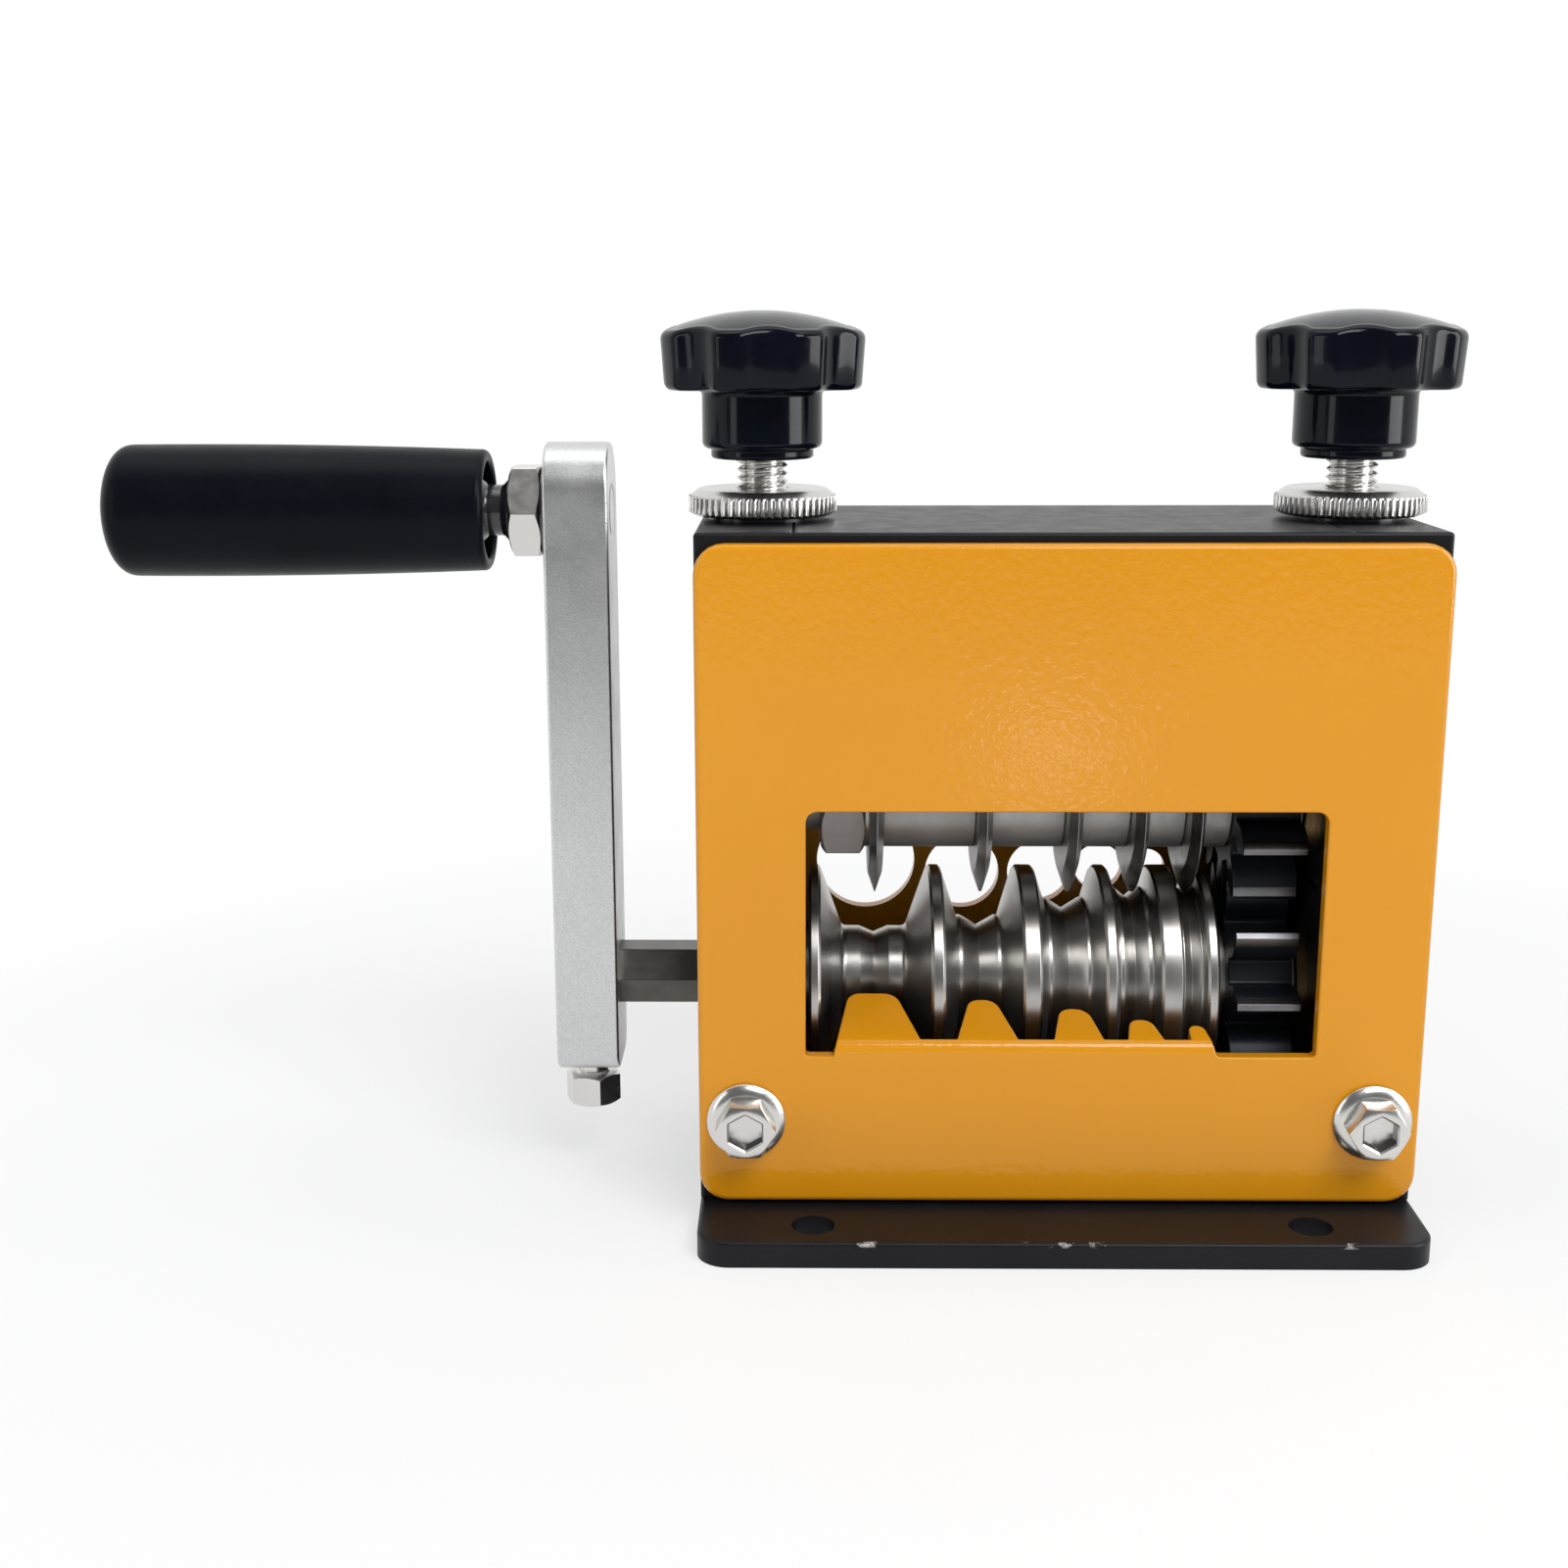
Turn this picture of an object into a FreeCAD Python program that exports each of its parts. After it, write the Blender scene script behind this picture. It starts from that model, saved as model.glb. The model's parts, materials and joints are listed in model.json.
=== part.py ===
import FreeCAD, Part

import math
import os
from collections import namedtuple

from FreeCAD import Vector

# Hand crank wire stripper, millimetres. X runs along the shafts, Y from front to back, Z up.
# The origin is the centre of the base plate's hole pattern, on its underside.

# ---- clearances
FIT = 0.02              # around anything that doesn't move in its seat
RUNNING = 0.03          # radial, journals and screws that turn
SLIDING = 0.1           # on each side of the bearing blocks
END_PLAY = 0.25         # between a turning shoulder and its thrust face

# ---- wire lanes of the feed roller, left to right
# mouth and floor widths, floor radius, vee in the floor, tooth of the comb
Lane = namedtuple("Lane", "mouth floor floor_r vee vee_depth tooth_base tooth_tip tooth_lean tooth_reach")
LANES = (
    Lane(17.2, 10.2, 7.5, 4.6, 1.0, 13.1, 7.3, -0.6, 12.0),
    Lane(12.0, 6.8, 9.3, 5.6, 1.6, 9.3, 4.0, -0.3, 10.5),
    Lane(9.8, 6.6, 12.2, 5.6, 1.75, 7.6, 4.2, -0.2, 8.4),
    Lane(6.6, 5.0, 13.9, 3.8, 1.6, 5.5, 3.2, -0.4, 5.9),
    Lane(3.6, 3.0, 15.0, 2.6, 1.4, 3.6, 2.3, -0.7, 4.6),
)
# exit holes in the rear cover, one behind each lane: radius, shift from the lane's middle along X,
# height above the roller's axis
ExitHole = namedtuple("ExitHole", "r shift rise")
EXIT_HOLES = (
    ExitHole(8.4, -0.7, 12.8),
    ExitHole(6.35, -0.9, 10.7),
    ExitHole(5.45, -1.5, 10.8),
    ExitHole(4.1, -1.5, 11.6),
    ExitHole(3.3, -2.0, 11.5),
)
RIM_WIDTHS = (1.9, 2.2, 3.0, 2.0, 3.5, 1.9)
RIM_RADIUS = 17.5
RIM_CHAMFER = 0.4

# ---- gears and shafts
GEAR_MODULE = 3.0
GEAR_TEETH = 10
GEAR_FACE = 10.0
GEAR_STEP = 2.4         # shoulder between the roller and its gear
GEAR_WASHER = 0.85
TOOTH_RELIEF = 0.6      # taken off each tooth's thickness for play
MESH_PLAY = 0.15        # added to the gears' centre distance at rest
PRESSURE_ANGLE = 20.0
JOURNAL_D = 12.0
THREADED_JOURNAL_D = 10.0
SHOULDER_D = 18.0
LEFT_BOSS = 0.55
KEY_WIDTH = 4.0
KEY_HEIGHT = 4.0
KEY_LENGTH = 8.0
KEY_SEAT = 2.5
KEYWAY_GAP = 0.25       # above the key, in the gear
HEX_AF = 9.0
SHAFT_END_RECESS = 0.5

# ---- blades
BLADE_RADIUS = 16.0
BLADE_THICK = 2.2
BLADE_BEVEL = 3.0
BLADE_EDGE = 0.1
SPACER_D = 17.6
JAM_NUT_AF = 18.0
JAM_NUT_THICK = 7.0
BLADE_WASHER = 0.5

# ---- bushes and bearing blocks
BUSH_WALL = 2.0
BUSH_FLANGE = 2.0       # height of the flange above the bush
FLANGE_THICK = 1.5
BLOCK_THICK = 11.2
BLOCK_DEPTH = 25.8
BLOCK_BELOW = 12.0      # of the blade axis
BLOCK_ABOVE = 19.0
TRAVEL_DOWN = 0.4
TRAVEL_UP = 3.5
POCKET_SPARE = 0.6      # left over above and below the travel
BLOCK_BACK_GAP = 0.3

# ---- frame
CHEEK_THICK = 14.5
TOP_THICK = 12.0
DRIVE_AXIS_RISE = 29.7  # of the roller's axis above the base plate
ROLLER_TO_COVER = 5.0
SCREW_THREAD = 20.45    # length of the adjusting screws' thread in the cheeks
EDGE_ROUND = 0.6

# ---- base plate
BASE_THICK = 4.0
BASE_LEDGE = 16.0       # in front of and behind the frame
BASE_CORNER_R = 5.0
BASE_HOLE_D = 6.6
BASE_HOLE_INSET_X = 17.5
BASE_HOLE_INSET_Y = 6.2

# ---- covers
COVER_THICK = 2.5
COVER_CORNER_R = 4.5
COVER_ROUND = 0.8
COVER_LIFT = 0.5        # above the base plate
COVER_DROP = 1.4        # below the top of the frame
WINDOW_MARGIN = 1.85    # inside the cheeks
WINDOW_BELOW = 5.5      # of the roller's axis
WINDOW_ABOVE = 2.55     # of the blade axis
WINDOW_TOP_R = 1.7
WINDOW_BOTTOM_R = 0.5
COMB_RISE = 2.0         # of the comb's fold above the window's lower edge
COMB_SLOPE = 22.0       # degrees above the horizontal
COMB_THICK = 2.0
COMB_NOTCH = 1.4        # from the fold to the bottom of the notches
COMB_END = 0.6
TOOTH_CORNER_R = 0.9

# ---- fasteners
HEX_CHAMFER_ANGLE = 30.0
HEX_FACE_INSET = 0.15   # of the round face inside a hexagon's flats
CUT_SPARE = 1.0         # by which a turning cut reaches past the corners
M5_D = 5.0
M5_CLEARANCE = 0.25     # radial, around a screw that passes through
FLANGE_BOLT_AF = 8.0
FLANGE_BOLT_HEAD = 4.0
FLANGE_BOLT_SOCKET_AF = 5.0
FLANGE_BOLT_SOCKET_DEPTH = 2.6
FLANGE_BOLT_SOCKET_TURN = 30.0  # degrees from the head's own hexagon
FLANGE_BOLT_FLANGE_D = 12.0
FLANGE_BOLT_FLANGE = 1.4
FLANGE_BOLT_GRIP = 12.0
FLANGE_BOLT_RISE = 13.9 # above the base plate
COVER_PIN_D = 4.0
COVER_PIN_SEAT = 6.0
COVER_PIN_TIP = 1.5
COVER_PIN_DROP = 18.0
BASE_SCREW_SPREAD = 12.0
BASE_SCREW_GRIP = 9.5
BASE_SCREW_HEAD_D = 9.2
BASE_SCREW_HEAD = 2.5
TOP_SCREW_SPREAD = 14.0
TOP_SCREW_GRIP = 12.0
TOP_SCREW_HEAD_D = 8.5
TOP_SCREW_HEAD = 5.0
TOP_SCREW_SOCKET_AF = 4.0
TOP_SCREW_SOCKET_DEPTH = 2.5

# ---- adjusting screws, their knobs and lock nuts
SCREW_INSET = 9.6       # of the screws' axes inside the outer faces of the cheeks
SCREW_D = 8.0
PILOT_D = 6.0
PILOT_LENGTH = 9.0
PILOT_GROOVE_D = 3.8
PILOT_GROOVE_DROP = 5.0
RETAINING_PIN_D = 2.4
RETAINING_PIN_PLAY = 0.1
LOCK_WASHER_D = 17.0
LOCK_WASHER = 0.7
LOCK_NUT_D = 23.0
LOCK_NUT = 4.0
LOCK_NUT_CHAMFER = 0.5
NUT_TO_KNOB = 4.6
KNOB_D = 32.0
KNOB_LOBES = 8
KNOB_SCALLOP_R = 7.0
KNOB_SCALLOP_DEPTH = 1.6
KNOB_LIP_D = 15.8
KNOB_LIP = 1.5
KNOB_HUB_D = 18.5
KNOB_HUB = 9.7
KNOB_SIDE = 7.6
KNOB_DOME = 3.4
KNOB_EDGE_R = 1.6
KNOB_SCREW_GRIP = 14.0

# ---- crank
ARM_GAP = 13.8          # between the left cheek and the arm
ARM_THICK = 10.0
ARM_WIDTH = 15.0
ARM_BELOW = 15.05       # of the drive axis
ARM_CORNER_R = 3.5      # at the lower end; the upper end is round
ARM_ROUND = 0.5
CRANK_RADIUS = 75.0
ARM_ABOVE = 10.5        # of the handle's axis
SET_BOLT_NECK = 2.1
SET_BOLT_HEAD = 5.4
SET_BOLT_AF = 8.0
SET_BOLT_TURN = -11.0   # degrees of its head about the vertical, from a corner towards +X

# ---- handle
SPINDLE_THREAD_D = 8.0
SPINDLE_COLLAR_D = 12.4
SPINDLE_ROD_D = 10.0
SPINDLE_ROD = 47.0
HANDLE_WASHER_D = 14.0
HANDLE_WASHER = 0.4
HANDLE_NUT_AF = 13.5
HANDLE_NUT = 5.0
GRIP_GAP = 3.6          # between the nut and the grip
GRIP_LENGTH = 60.3
GRIP_OUTER_D = 19.9
GRIP_MIDDLE_D = 20.4
GRIP_INNER_D = 18.7
GRIP_END_R = 3.5
GRIP_COUNTERBORE_D = 15.0
GRIP_COUNTERBORE = 4.0
GRIP_INNER_ROUND = 0.6
SNAP_RING_D = 11.6
SNAP_RING_THICK = 1.2
SNAP_RING_GROOVE_D = 8.8
SNAP_RING_INSET = 3.0
SNAP_RING_GAP = 3.0

# ---- derived places along X, from the inner face of the left cheek
inner_span = (2 * (FLANGE_THICK + END_PLAY) + LEFT_BOSS + sum(RIM_WIDTHS)
              + sum(lane.mouth for lane in LANES) + GEAR_STEP + GEAR_FACE + GEAR_WASHER)
inner_x = inner_span / 2
outer_x = inner_x + CHEEK_THICK
flange_x = inner_x - FLANGE_THICK
thrust_x = flange_x - END_PLAY
roller_left = LEFT_BOSS - thrust_x
lane_x = []
rim_start = roller_left
for rim, lane in zip(RIM_WIDTHS, LANES):
    lane_x.append(rim_start + rim + lane.mouth / 2)
    rim_start = rim_start + rim + lane.mouth
roller_right = rim_start + RIM_WIDTHS[-1]
gear_left = roller_right + GEAR_STEP
gear_right = gear_left + GEAR_FACE
screw_x = outer_x - SCREW_INSET
cheek_mid_x = (inner_x + outer_x) / 2
arm_right = -outer_x - ARM_GAP
arm_left = arm_right - ARM_THICK

# ---- derived places along Y
frame_y = RIM_RADIUS + ROLLER_TO_COVER
cover_y = frame_y + COVER_THICK
base_y = frame_y + BASE_LEDGE
pocket_y = BLOCK_DEPTH / 2 + SLIDING

# ---- derived heights
drive_z = BASE_THICK + DRIVE_AXIS_RISE
blade_z = drive_z + GEAR_MODULE * GEAR_TEETH + MESH_PLAY
block_bottom = blade_z - BLOCK_BELOW
block_top = blade_z + BLOCK_ABOVE
pocket_bottom = block_bottom - TRAVEL_DOWN - POCKET_SPARE
pocket_top = block_top + TRAVEL_UP + POCKET_SPARE
frame_top = pocket_top + SCREW_THREAD
bolt_z = BASE_THICK + FLANGE_BOLT_RISE
pin_z = frame_top - COVER_PIN_DROP
handle_z = drive_z + CRANK_RADIUS
washer_top = frame_top + LOCK_WASHER
lock_nut_top = washer_top + LOCK_NUT
knob_bottom = lock_nut_top + NUT_TO_KNOB

# ---- derived places of the handle
nut_right = arm_left - HANDLE_WASHER
nut_left = nut_right - HANDLE_NUT
grip_right = nut_left - GRIP_GAP
grip_left = grip_right - GRIP_LENGTH
collar_left = grip_right - GRIP_COUNTERBORE + END_PLAY
rod_left = collar_left - SPINDLE_ROD

ALONG_X = Vector(1, 0, 0)
ALONG_Y = Vector(0, 1, 0)
ALONG_Z = Vector(0, 0, 1)
ORIGIN = Vector(0, 0, 0)


def box(x0, x1, y0, y1, z0, z1):
    return Part.makeBox(x1 - x0, y1 - y0, z1 - z0, Vector(x0, y0, z0))


def rod(radius, start, direction, length):
    return Part.makeCylinder(radius, length, start, direction)


def turned(profile, axis_z=0.0):
    """Solid of revolution about a line along X; the profile is (x, radius) pairs."""
    corners = [Vector(x, radius, 0) for x, radius in profile]
    face = Part.Face(Part.makePolygon(corners + corners[:1]))
    solid = face.revolve(ORIGIN, ALONG_X, 360)
    solid.translate(Vector(0, 0, axis_z))
    return solid


def upright(profile, x, z):
    """Solid of revolution about a vertical line; the profile is (radius, height) pairs."""
    corners = [Vector(radius, 0, height) for radius, height in profile]
    face = Part.Face(Part.makePolygon(corners + corners[:1]))
    solid = face.revolve(ORIGIN, ALONG_Z, 360)
    solid.translate(Vector(x, 0, z))
    return solid


def hexagon(across_flats, length):
    """Hexagonal prism on the XY plane, with flats square to Y."""
    radius = across_flats / math.sqrt(3)
    corners = [Vector(radius * math.cos(math.radians(60 * step)),
                      radius * math.sin(math.radians(60 * step)), 0) for step in range(6)]
    return Part.Face(Part.makePolygon(corners + corners[:1])).extrude(Vector(0, 0, length))


def chamfered_hexagon(across_flats, length, both_ends=True):
    """Hexagonal prism with its corners turned down at one end or both, to a circle in the flats."""
    outside = across_flats / math.sqrt(3) + CUT_SPARE
    flat = across_flats / 2 - HEX_FACE_INSET
    slope = (outside - flat) * math.tan(math.radians(HEX_CHAMFER_ANGLE))
    low = [(flat, 0), (outside, slope)] if both_ends else [(outside, 0)]
    high = [(outside, length - slope), (flat, length), (0, length)]
    turning = upright([(0, 0)] + low + high, 0, 0)
    return hexagon(across_flats, length).common(turning)


def lay_along_x(shape, x, z):
    """Turn a shape standing on the XY plane so that it points along +X from (x, 0, z)."""
    shape.rotate(ORIGIN, ALONG_Y, 90)
    shape.translate(Vector(x, 0, z))
    return shape


def rounded_outline(corners):
    """Face in the XY plane through (x, y, corner radius) triples."""
    stretches = []
    for index, (x, y, radius) in enumerate(corners):
        here = Vector(x, y, 0)
        back = (Vector(corners[index - 1][0], corners[index - 1][1], 0) - here).normalize()
        following = corners[(index + 1) % len(corners)]
        forth = (Vector(following[0], following[1], 0) - here).normalize()
        half = back.getAngle(forth) / 2
        reach = radius / math.tan(half)
        middle = here + (back + forth).normalize() * (radius / math.sin(half) - radius)
        stretches.append((here + back * reach, middle, here + forth * reach, radius))
    edges = []
    for index, (start, middle, end, radius) in enumerate(stretches):
        if radius > 0:
            edges.append(Part.Arc(start, middle, end).toShape())
        following = stretches[(index + 1) % len(stretches)][0]
        if (following - end).Length > 1e-6:
            edges.append(Part.LineSegment(end, following).toShape())
    return Part.Face(Part.Wire(edges))


def rounded_rectangle(x0, x1, y0, y1, radius):
    return rounded_outline([(x0, y0, radius), (x1, y0, radius), (x1, y1, radius), (x0, y1, radius)])


def standing(face, thickness, back_y):
    """Extrude a face drawn with (x, z) as a plate whose back is at back_y, towards the front."""
    plate = face.extrude(Vector(0, 0, thickness))
    plate.rotate(ORIGIN, ALONG_X, 90)
    plate.translate(Vector(0, back_y, 0))
    return plate


def rounded_edges(shape, radius, wanted):
    """Fillet the edges whose every vertex passes the test."""
    edges = [edge for edge in shape.Edges if all(wanted(vertex.Point) for vertex in edge.Vertexes)]
    return shape.makeFillet(radius, edges)


def near(value, target):
    return abs(value - target) < 1e-4


def at_top_side(point):
    return near(point.z, frame_top) and near(point.x, outer_x)


def at_top_front_or_back(point):
    return near(point.z, frame_top) and near(abs(point.y), frame_y)


def mirrored_x(shape):
    return shape.mirror(ORIGIN, ALONG_X)


def mirrored_y(shape):
    return shape.mirror(ORIGIN, ALONG_Y)


def at_four(shape):
    """Copies of a shape in all four quarters of the plan."""
    pair = [shape, mirrored_x(shape)]
    return Part.makeCompound(pair + [mirrored_y(one) for one in pair])


# ---------------------------------------------------------------- frame

def base_plate():
    plate = rounded_rectangle(-outer_x, outer_x, -base_y, base_y, BASE_CORNER_R)
    plate = plate.extrude(Vector(0, 0, BASE_THICK))
    plate = rounded_edges(plate, EDGE_ROUND, lambda point: near(point.z, BASE_THICK))
    hole = rod(BASE_HOLE_D / 2, Vector(outer_x - BASE_HOLE_INSET_X, base_y - BASE_HOLE_INSET_Y, 0),
               ALONG_Z, BASE_THICK)
    screw_seat = base_screw(M5_CLEARANCE)
    return plate.cut([at_four(hole), at_four(screw_seat)])


def base_screw(clearance=0.0):
    """Countersunk screw from below into a cheek, or the cut that it needs."""
    shank = M5_D / 2 + clearance
    head = BASE_SCREW_HEAD_D / 2 + clearance
    profile = [(0, 0), (head, 0), (shank, BASE_SCREW_HEAD)]
    profile += [(shank, BASE_THICK + BASE_SCREW_GRIP), (0, BASE_THICK + BASE_SCREW_GRIP)]
    screw = upright(profile, cheek_mid_x, 0)
    screw.translate(Vector(0, BASE_SCREW_SPREAD, 0))
    return screw


def cheek():
    """Right cheek of the frame; the left one is its mirror image."""
    plate = box(inner_x, outer_x, -frame_y, frame_y, BASE_THICK, frame_top)
    plate = rounded_edges(plate, EDGE_ROUND, at_top_side)
    plate = rounded_edges(plate, EDGE_ROUND, at_top_front_or_back)
    pocket_back = inner_x + BLOCK_THICK + BLOCK_BACK_GAP
    pocket = box(inner_x, pocket_back, -pocket_y, pocket_y, pocket_bottom, pocket_top)
    bush_bore = rod(JOURNAL_D / 2 + BUSH_WALL + FIT, Vector(inner_x, 0, drive_z), ALONG_X, CHEEK_THICK)
    screw_bore = rod(SCREW_D / 2 + RUNNING, Vector(screw_x, 0, pocket_top), ALONG_Z, SCREW_THREAD)
    thread_r = M5_D / 2 + FIT
    bolt_start = Vector(cheek_mid_x, frame_y, bolt_z)
    pin_start = Vector(cheek_mid_x, frame_y, pin_z)
    base_screw_start = Vector(cheek_mid_x, BASE_SCREW_SPREAD, BASE_THICK)
    rear_holes = [
        rod(thread_r, bolt_start, -ALONG_Y, FLANGE_BOLT_GRIP),
        rod(COVER_PIN_D / 2 + FIT, pin_start, -ALONG_Y, COVER_PIN_SEAT),
        rod(thread_r, base_screw_start, ALONG_Z, BASE_SCREW_GRIP),
        top_plate_screw(M5_CLEARANCE),
    ]
    front_holes = [mirrored_y(hole) for hole in rear_holes]
    return plate.cut([pocket, bush_bore, screw_bore] + rear_holes + front_holes)


def top_plate_screw(clearance=0.0):
    """Socket screw through a cheek into the top plate, or the cut that it needs."""
    axis = frame_top - TOP_THICK / 2
    shank = M5_D / 2 + clearance
    head = TOP_SCREW_HEAD_D / 2 + clearance
    head_x = outer_x - TOP_SCREW_HEAD
    tip_x = inner_x if clearance else inner_x - TOP_SCREW_GRIP
    profile = [(tip_x, 0), (tip_x, shank), (head_x, shank)]
    profile += [(head_x, head), (outer_x, head), (outer_x, 0)]
    screw = turned(profile, axis)
    if not clearance:
        socket = hexagon(TOP_SCREW_SOCKET_AF, TOP_SCREW_SOCKET_DEPTH)
        screw = screw.cut(lay_along_x(socket, outer_x - TOP_SCREW_SOCKET_DEPTH, axis))
    screw.translate(Vector(0, TOP_SCREW_SPREAD, 0))
    return screw


def top_plate():
    plate = box(-inner_x, inner_x, -frame_y, frame_y, frame_top - TOP_THICK, frame_top)
    plate = rounded_edges(plate, EDGE_ROUND, at_top_front_or_back)
    thread_start = Vector(inner_x, TOP_SCREW_SPREAD, frame_top - TOP_THICK / 2)
    thread = rod(M5_D / 2 + FIT, thread_start, -ALONG_X, TOP_SCREW_GRIP)
    return plate.cut(at_four(thread))


def cover_blank():
    """Plate shared by both covers, at the front of the frame, with its bolt and pin holes."""
    outline = rounded_rectangle(-outer_x, outer_x, BASE_THICK + COVER_LIFT, frame_top - COVER_DROP,
                                COVER_CORNER_R)
    plate = standing(outline, COVER_THICK, -frame_y)
    plate = rounded_edges(plate, COVER_ROUND, lambda point: near(point.y, -cover_y))
    bolt_hole = rod(M5_D / 2 + M5_CLEARANCE, Vector(cheek_mid_x, -cover_y, bolt_z), ALONG_Y, COVER_THICK)
    pin_hole = rod(COVER_PIN_D / 2 + FIT, Vector(cheek_mid_x, -frame_y, pin_z), -ALONG_Y, COVER_PIN_TIP)
    return plate.cut([bolt_hole, mirrored_x(bolt_hole), pin_hole, mirrored_x(pin_hole)])


def window_outline():
    left = WINDOW_MARGIN - inner_x
    right = inner_x - WINDOW_MARGIN
    bottom = drive_z - WINDOW_BELOW
    top = blade_z + WINDOW_ABOVE
    return rounded_outline([(left, bottom, WINDOW_BOTTOM_R), (right, bottom, WINDOW_BOTTOM_R),
                            (right, top, WINDOW_TOP_R), (left, top, WINDOW_TOP_R)])


def comb():
    """Tab folded out of the window's lower edge, with one tooth for each wire lane."""
    left = lane_x[0] - LANES[0].tooth_base / 2 - COMB_END
    right = lane_x[-1] + LANES[-1].tooth_base / 2 + COMB_END
    corners = [(left, 0, 0)]
    for x, lane in zip(lane_x, LANES):
        tip = x + lane.tooth_lean
        corners.append((x - lane.tooth_base / 2, COMB_NOTCH, 0))
        corners.append((tip - lane.tooth_tip / 2, lane.tooth_reach, TOOTH_CORNER_R))
        corners.append((tip + lane.tooth_tip / 2, lane.tooth_reach, TOOTH_CORNER_R))
        corners.append((x + lane.tooth_base / 2, COMB_NOTCH, 0))
    corners.append((right, 0, 0))
    fold_z = drive_z - WINDOW_BELOW + COMB_RISE
    tab = rounded_outline(corners).extrude(Vector(0, 0, -COMB_THICK))
    tab.rotate(ORIGIN, ALONG_X, COMB_SLOPE)
    tab.translate(Vector(0, -cover_y, fold_z))
    stub = box(left, right, -cover_y, -frame_y, fold_z - COMB_RISE, fold_z)
    behind_cover_face = box(left, right, -cover_y, 0, fold_z - COMB_RISE, blade_z)
    return tab.fuse(stub).common(behind_cover_face).removeSplitter()


def front_cover():
    window = standing(window_outline(), COVER_THICK, -frame_y)
    return cover_blank().cut(window).fuse(comb()).removeSplitter()


def rear_cover():
    plate = mirrored_y(cover_blank())
    holes = [rod(hole.r, Vector(x + hole.shift, frame_y, drive_z + hole.rise), ALONG_Y, COVER_THICK)
             for x, hole in zip(lane_x, EXIT_HOLES)]
    return plate.cut(holes)


def flange_bolt():
    """Cover bolt on the right side of the front cover."""
    top = FLANGE_BOLT_FLANGE + FLANGE_BOLT_HEAD
    flange_r = FLANGE_BOLT_FLANGE_D / 2
    flange_profile = [(0, 0), (flange_r, 0), (flange_r, FLANGE_BOLT_FLANGE / 2)]
    flange_profile += [(FLANGE_BOLT_AF / 2, FLANGE_BOLT_FLANGE), (0, FLANGE_BOLT_FLANGE)]
    flange = upright(flange_profile, 0, 0)
    head = chamfered_hexagon(FLANGE_BOLT_AF, top, both_ends=False)
    socket = hexagon(FLANGE_BOLT_SOCKET_AF, FLANGE_BOLT_SOCKET_DEPTH)
    socket.rotate(ORIGIN, ALONG_Z, FLANGE_BOLT_SOCKET_TURN)
    socket.translate(Vector(0, 0, top - FLANGE_BOLT_SOCKET_DEPTH))
    shank_end = COVER_THICK + FLANGE_BOLT_GRIP
    shank = rod(M5_D / 2, Vector(0, 0, -shank_end), ALONG_Z, shank_end)
    bolt = flange.fuse([head, shank]).cut(socket)
    bolt.rotate(ORIGIN, ALONG_X, 90)
    bolt.translate(Vector(cheek_mid_x, -cover_y, bolt_z))
    return bolt


def cover_pin():
    return rod(COVER_PIN_D / 2, Vector(cheek_mid_x, -frame_y - COVER_PIN_TIP, pin_z), ALONG_Y,
               COVER_PIN_TIP + COVER_PIN_SEAT)


def flanged_bush(bore_r, length):
    """Bush with its flange on the inner side of the right cheek, about the X axis."""
    wall_r = bore_r + BUSH_WALL
    flange_r = wall_r + BUSH_FLANGE
    end_x = inner_x + length
    profile = [(flange_x, bore_r + RUNNING), (flange_x, flange_r), (inner_x, flange_r)]
    profile += [(inner_x, wall_r), (end_x, wall_r), (end_x, bore_r + RUNNING)]
    return turned(profile)


def drive_bush():
    bush = flanged_bush(JOURNAL_D / 2, CHEEK_THICK)
    bush.translate(Vector(0, 0, drive_z))
    return bush


# ---------------------------------------------------------------- blade carriage

def blade_bush(bore_d):
    bush = flanged_bush(bore_d / 2, BLOCK_THICK)
    bush.translate(Vector(0, 0, blade_z))
    return bush


def bearing_block(bore_d):
    """Block in the right cheek's pocket, with the blade bush and the adjusting screw's end in it."""
    half = BLOCK_DEPTH / 2
    block = box(inner_x, inner_x + BLOCK_THICK, -half, half, block_bottom, block_top)
    bush_bore = rod(bore_d / 2 + BUSH_WALL + FIT, Vector(inner_x, 0, blade_z), ALONG_X, BLOCK_THICK)
    pilot_depth = PILOT_LENGTH + END_PLAY
    pilot_floor = Vector(screw_x, 0, block_top - pilot_depth)
    pilot_bore = rod(PILOT_D / 2 + RUNNING, pilot_floor, ALONG_Z, pilot_depth)
    return block.cut([bush_bore, pilot_bore, retaining_pin(FIT)])


def retaining_pin(clearance=0.0):
    """Dowel through the right block that holds the screw's groove, or its hole."""
    offset = PILOT_GROOVE_D / 2 + RETAINING_PIN_PLAY + RETAINING_PIN_D / 2
    start = Vector(screw_x + offset, -BLOCK_DEPTH / 2, block_top - PILOT_GROOVE_DROP)
    return rod(RETAINING_PIN_D / 2 + clearance, start, ALONG_Y, BLOCK_DEPTH)


# ---------------------------------------------------------------- gears and shafts

def involute_flank(start_angle, hand):
    """Points of one tooth flank from the base circle to the tip, turned to start_angle."""
    pitch_r = GEAR_MODULE * GEAR_TEETH / 2
    base_r = pitch_r * math.cos(math.radians(PRESSURE_ANGLE))
    roll_tip = math.sqrt(((pitch_r + GEAR_MODULE) / base_r) ** 2 - 1)
    points = []
    for step in range(5):
        roll = roll_tip * step / 4
        radius = base_r * math.sqrt(1 + roll ** 2)
        angle = start_angle + hand * (roll - math.atan(roll))
        points.append(Vector(radius * math.cos(angle), radius * math.sin(angle), 0))
    return points


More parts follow.
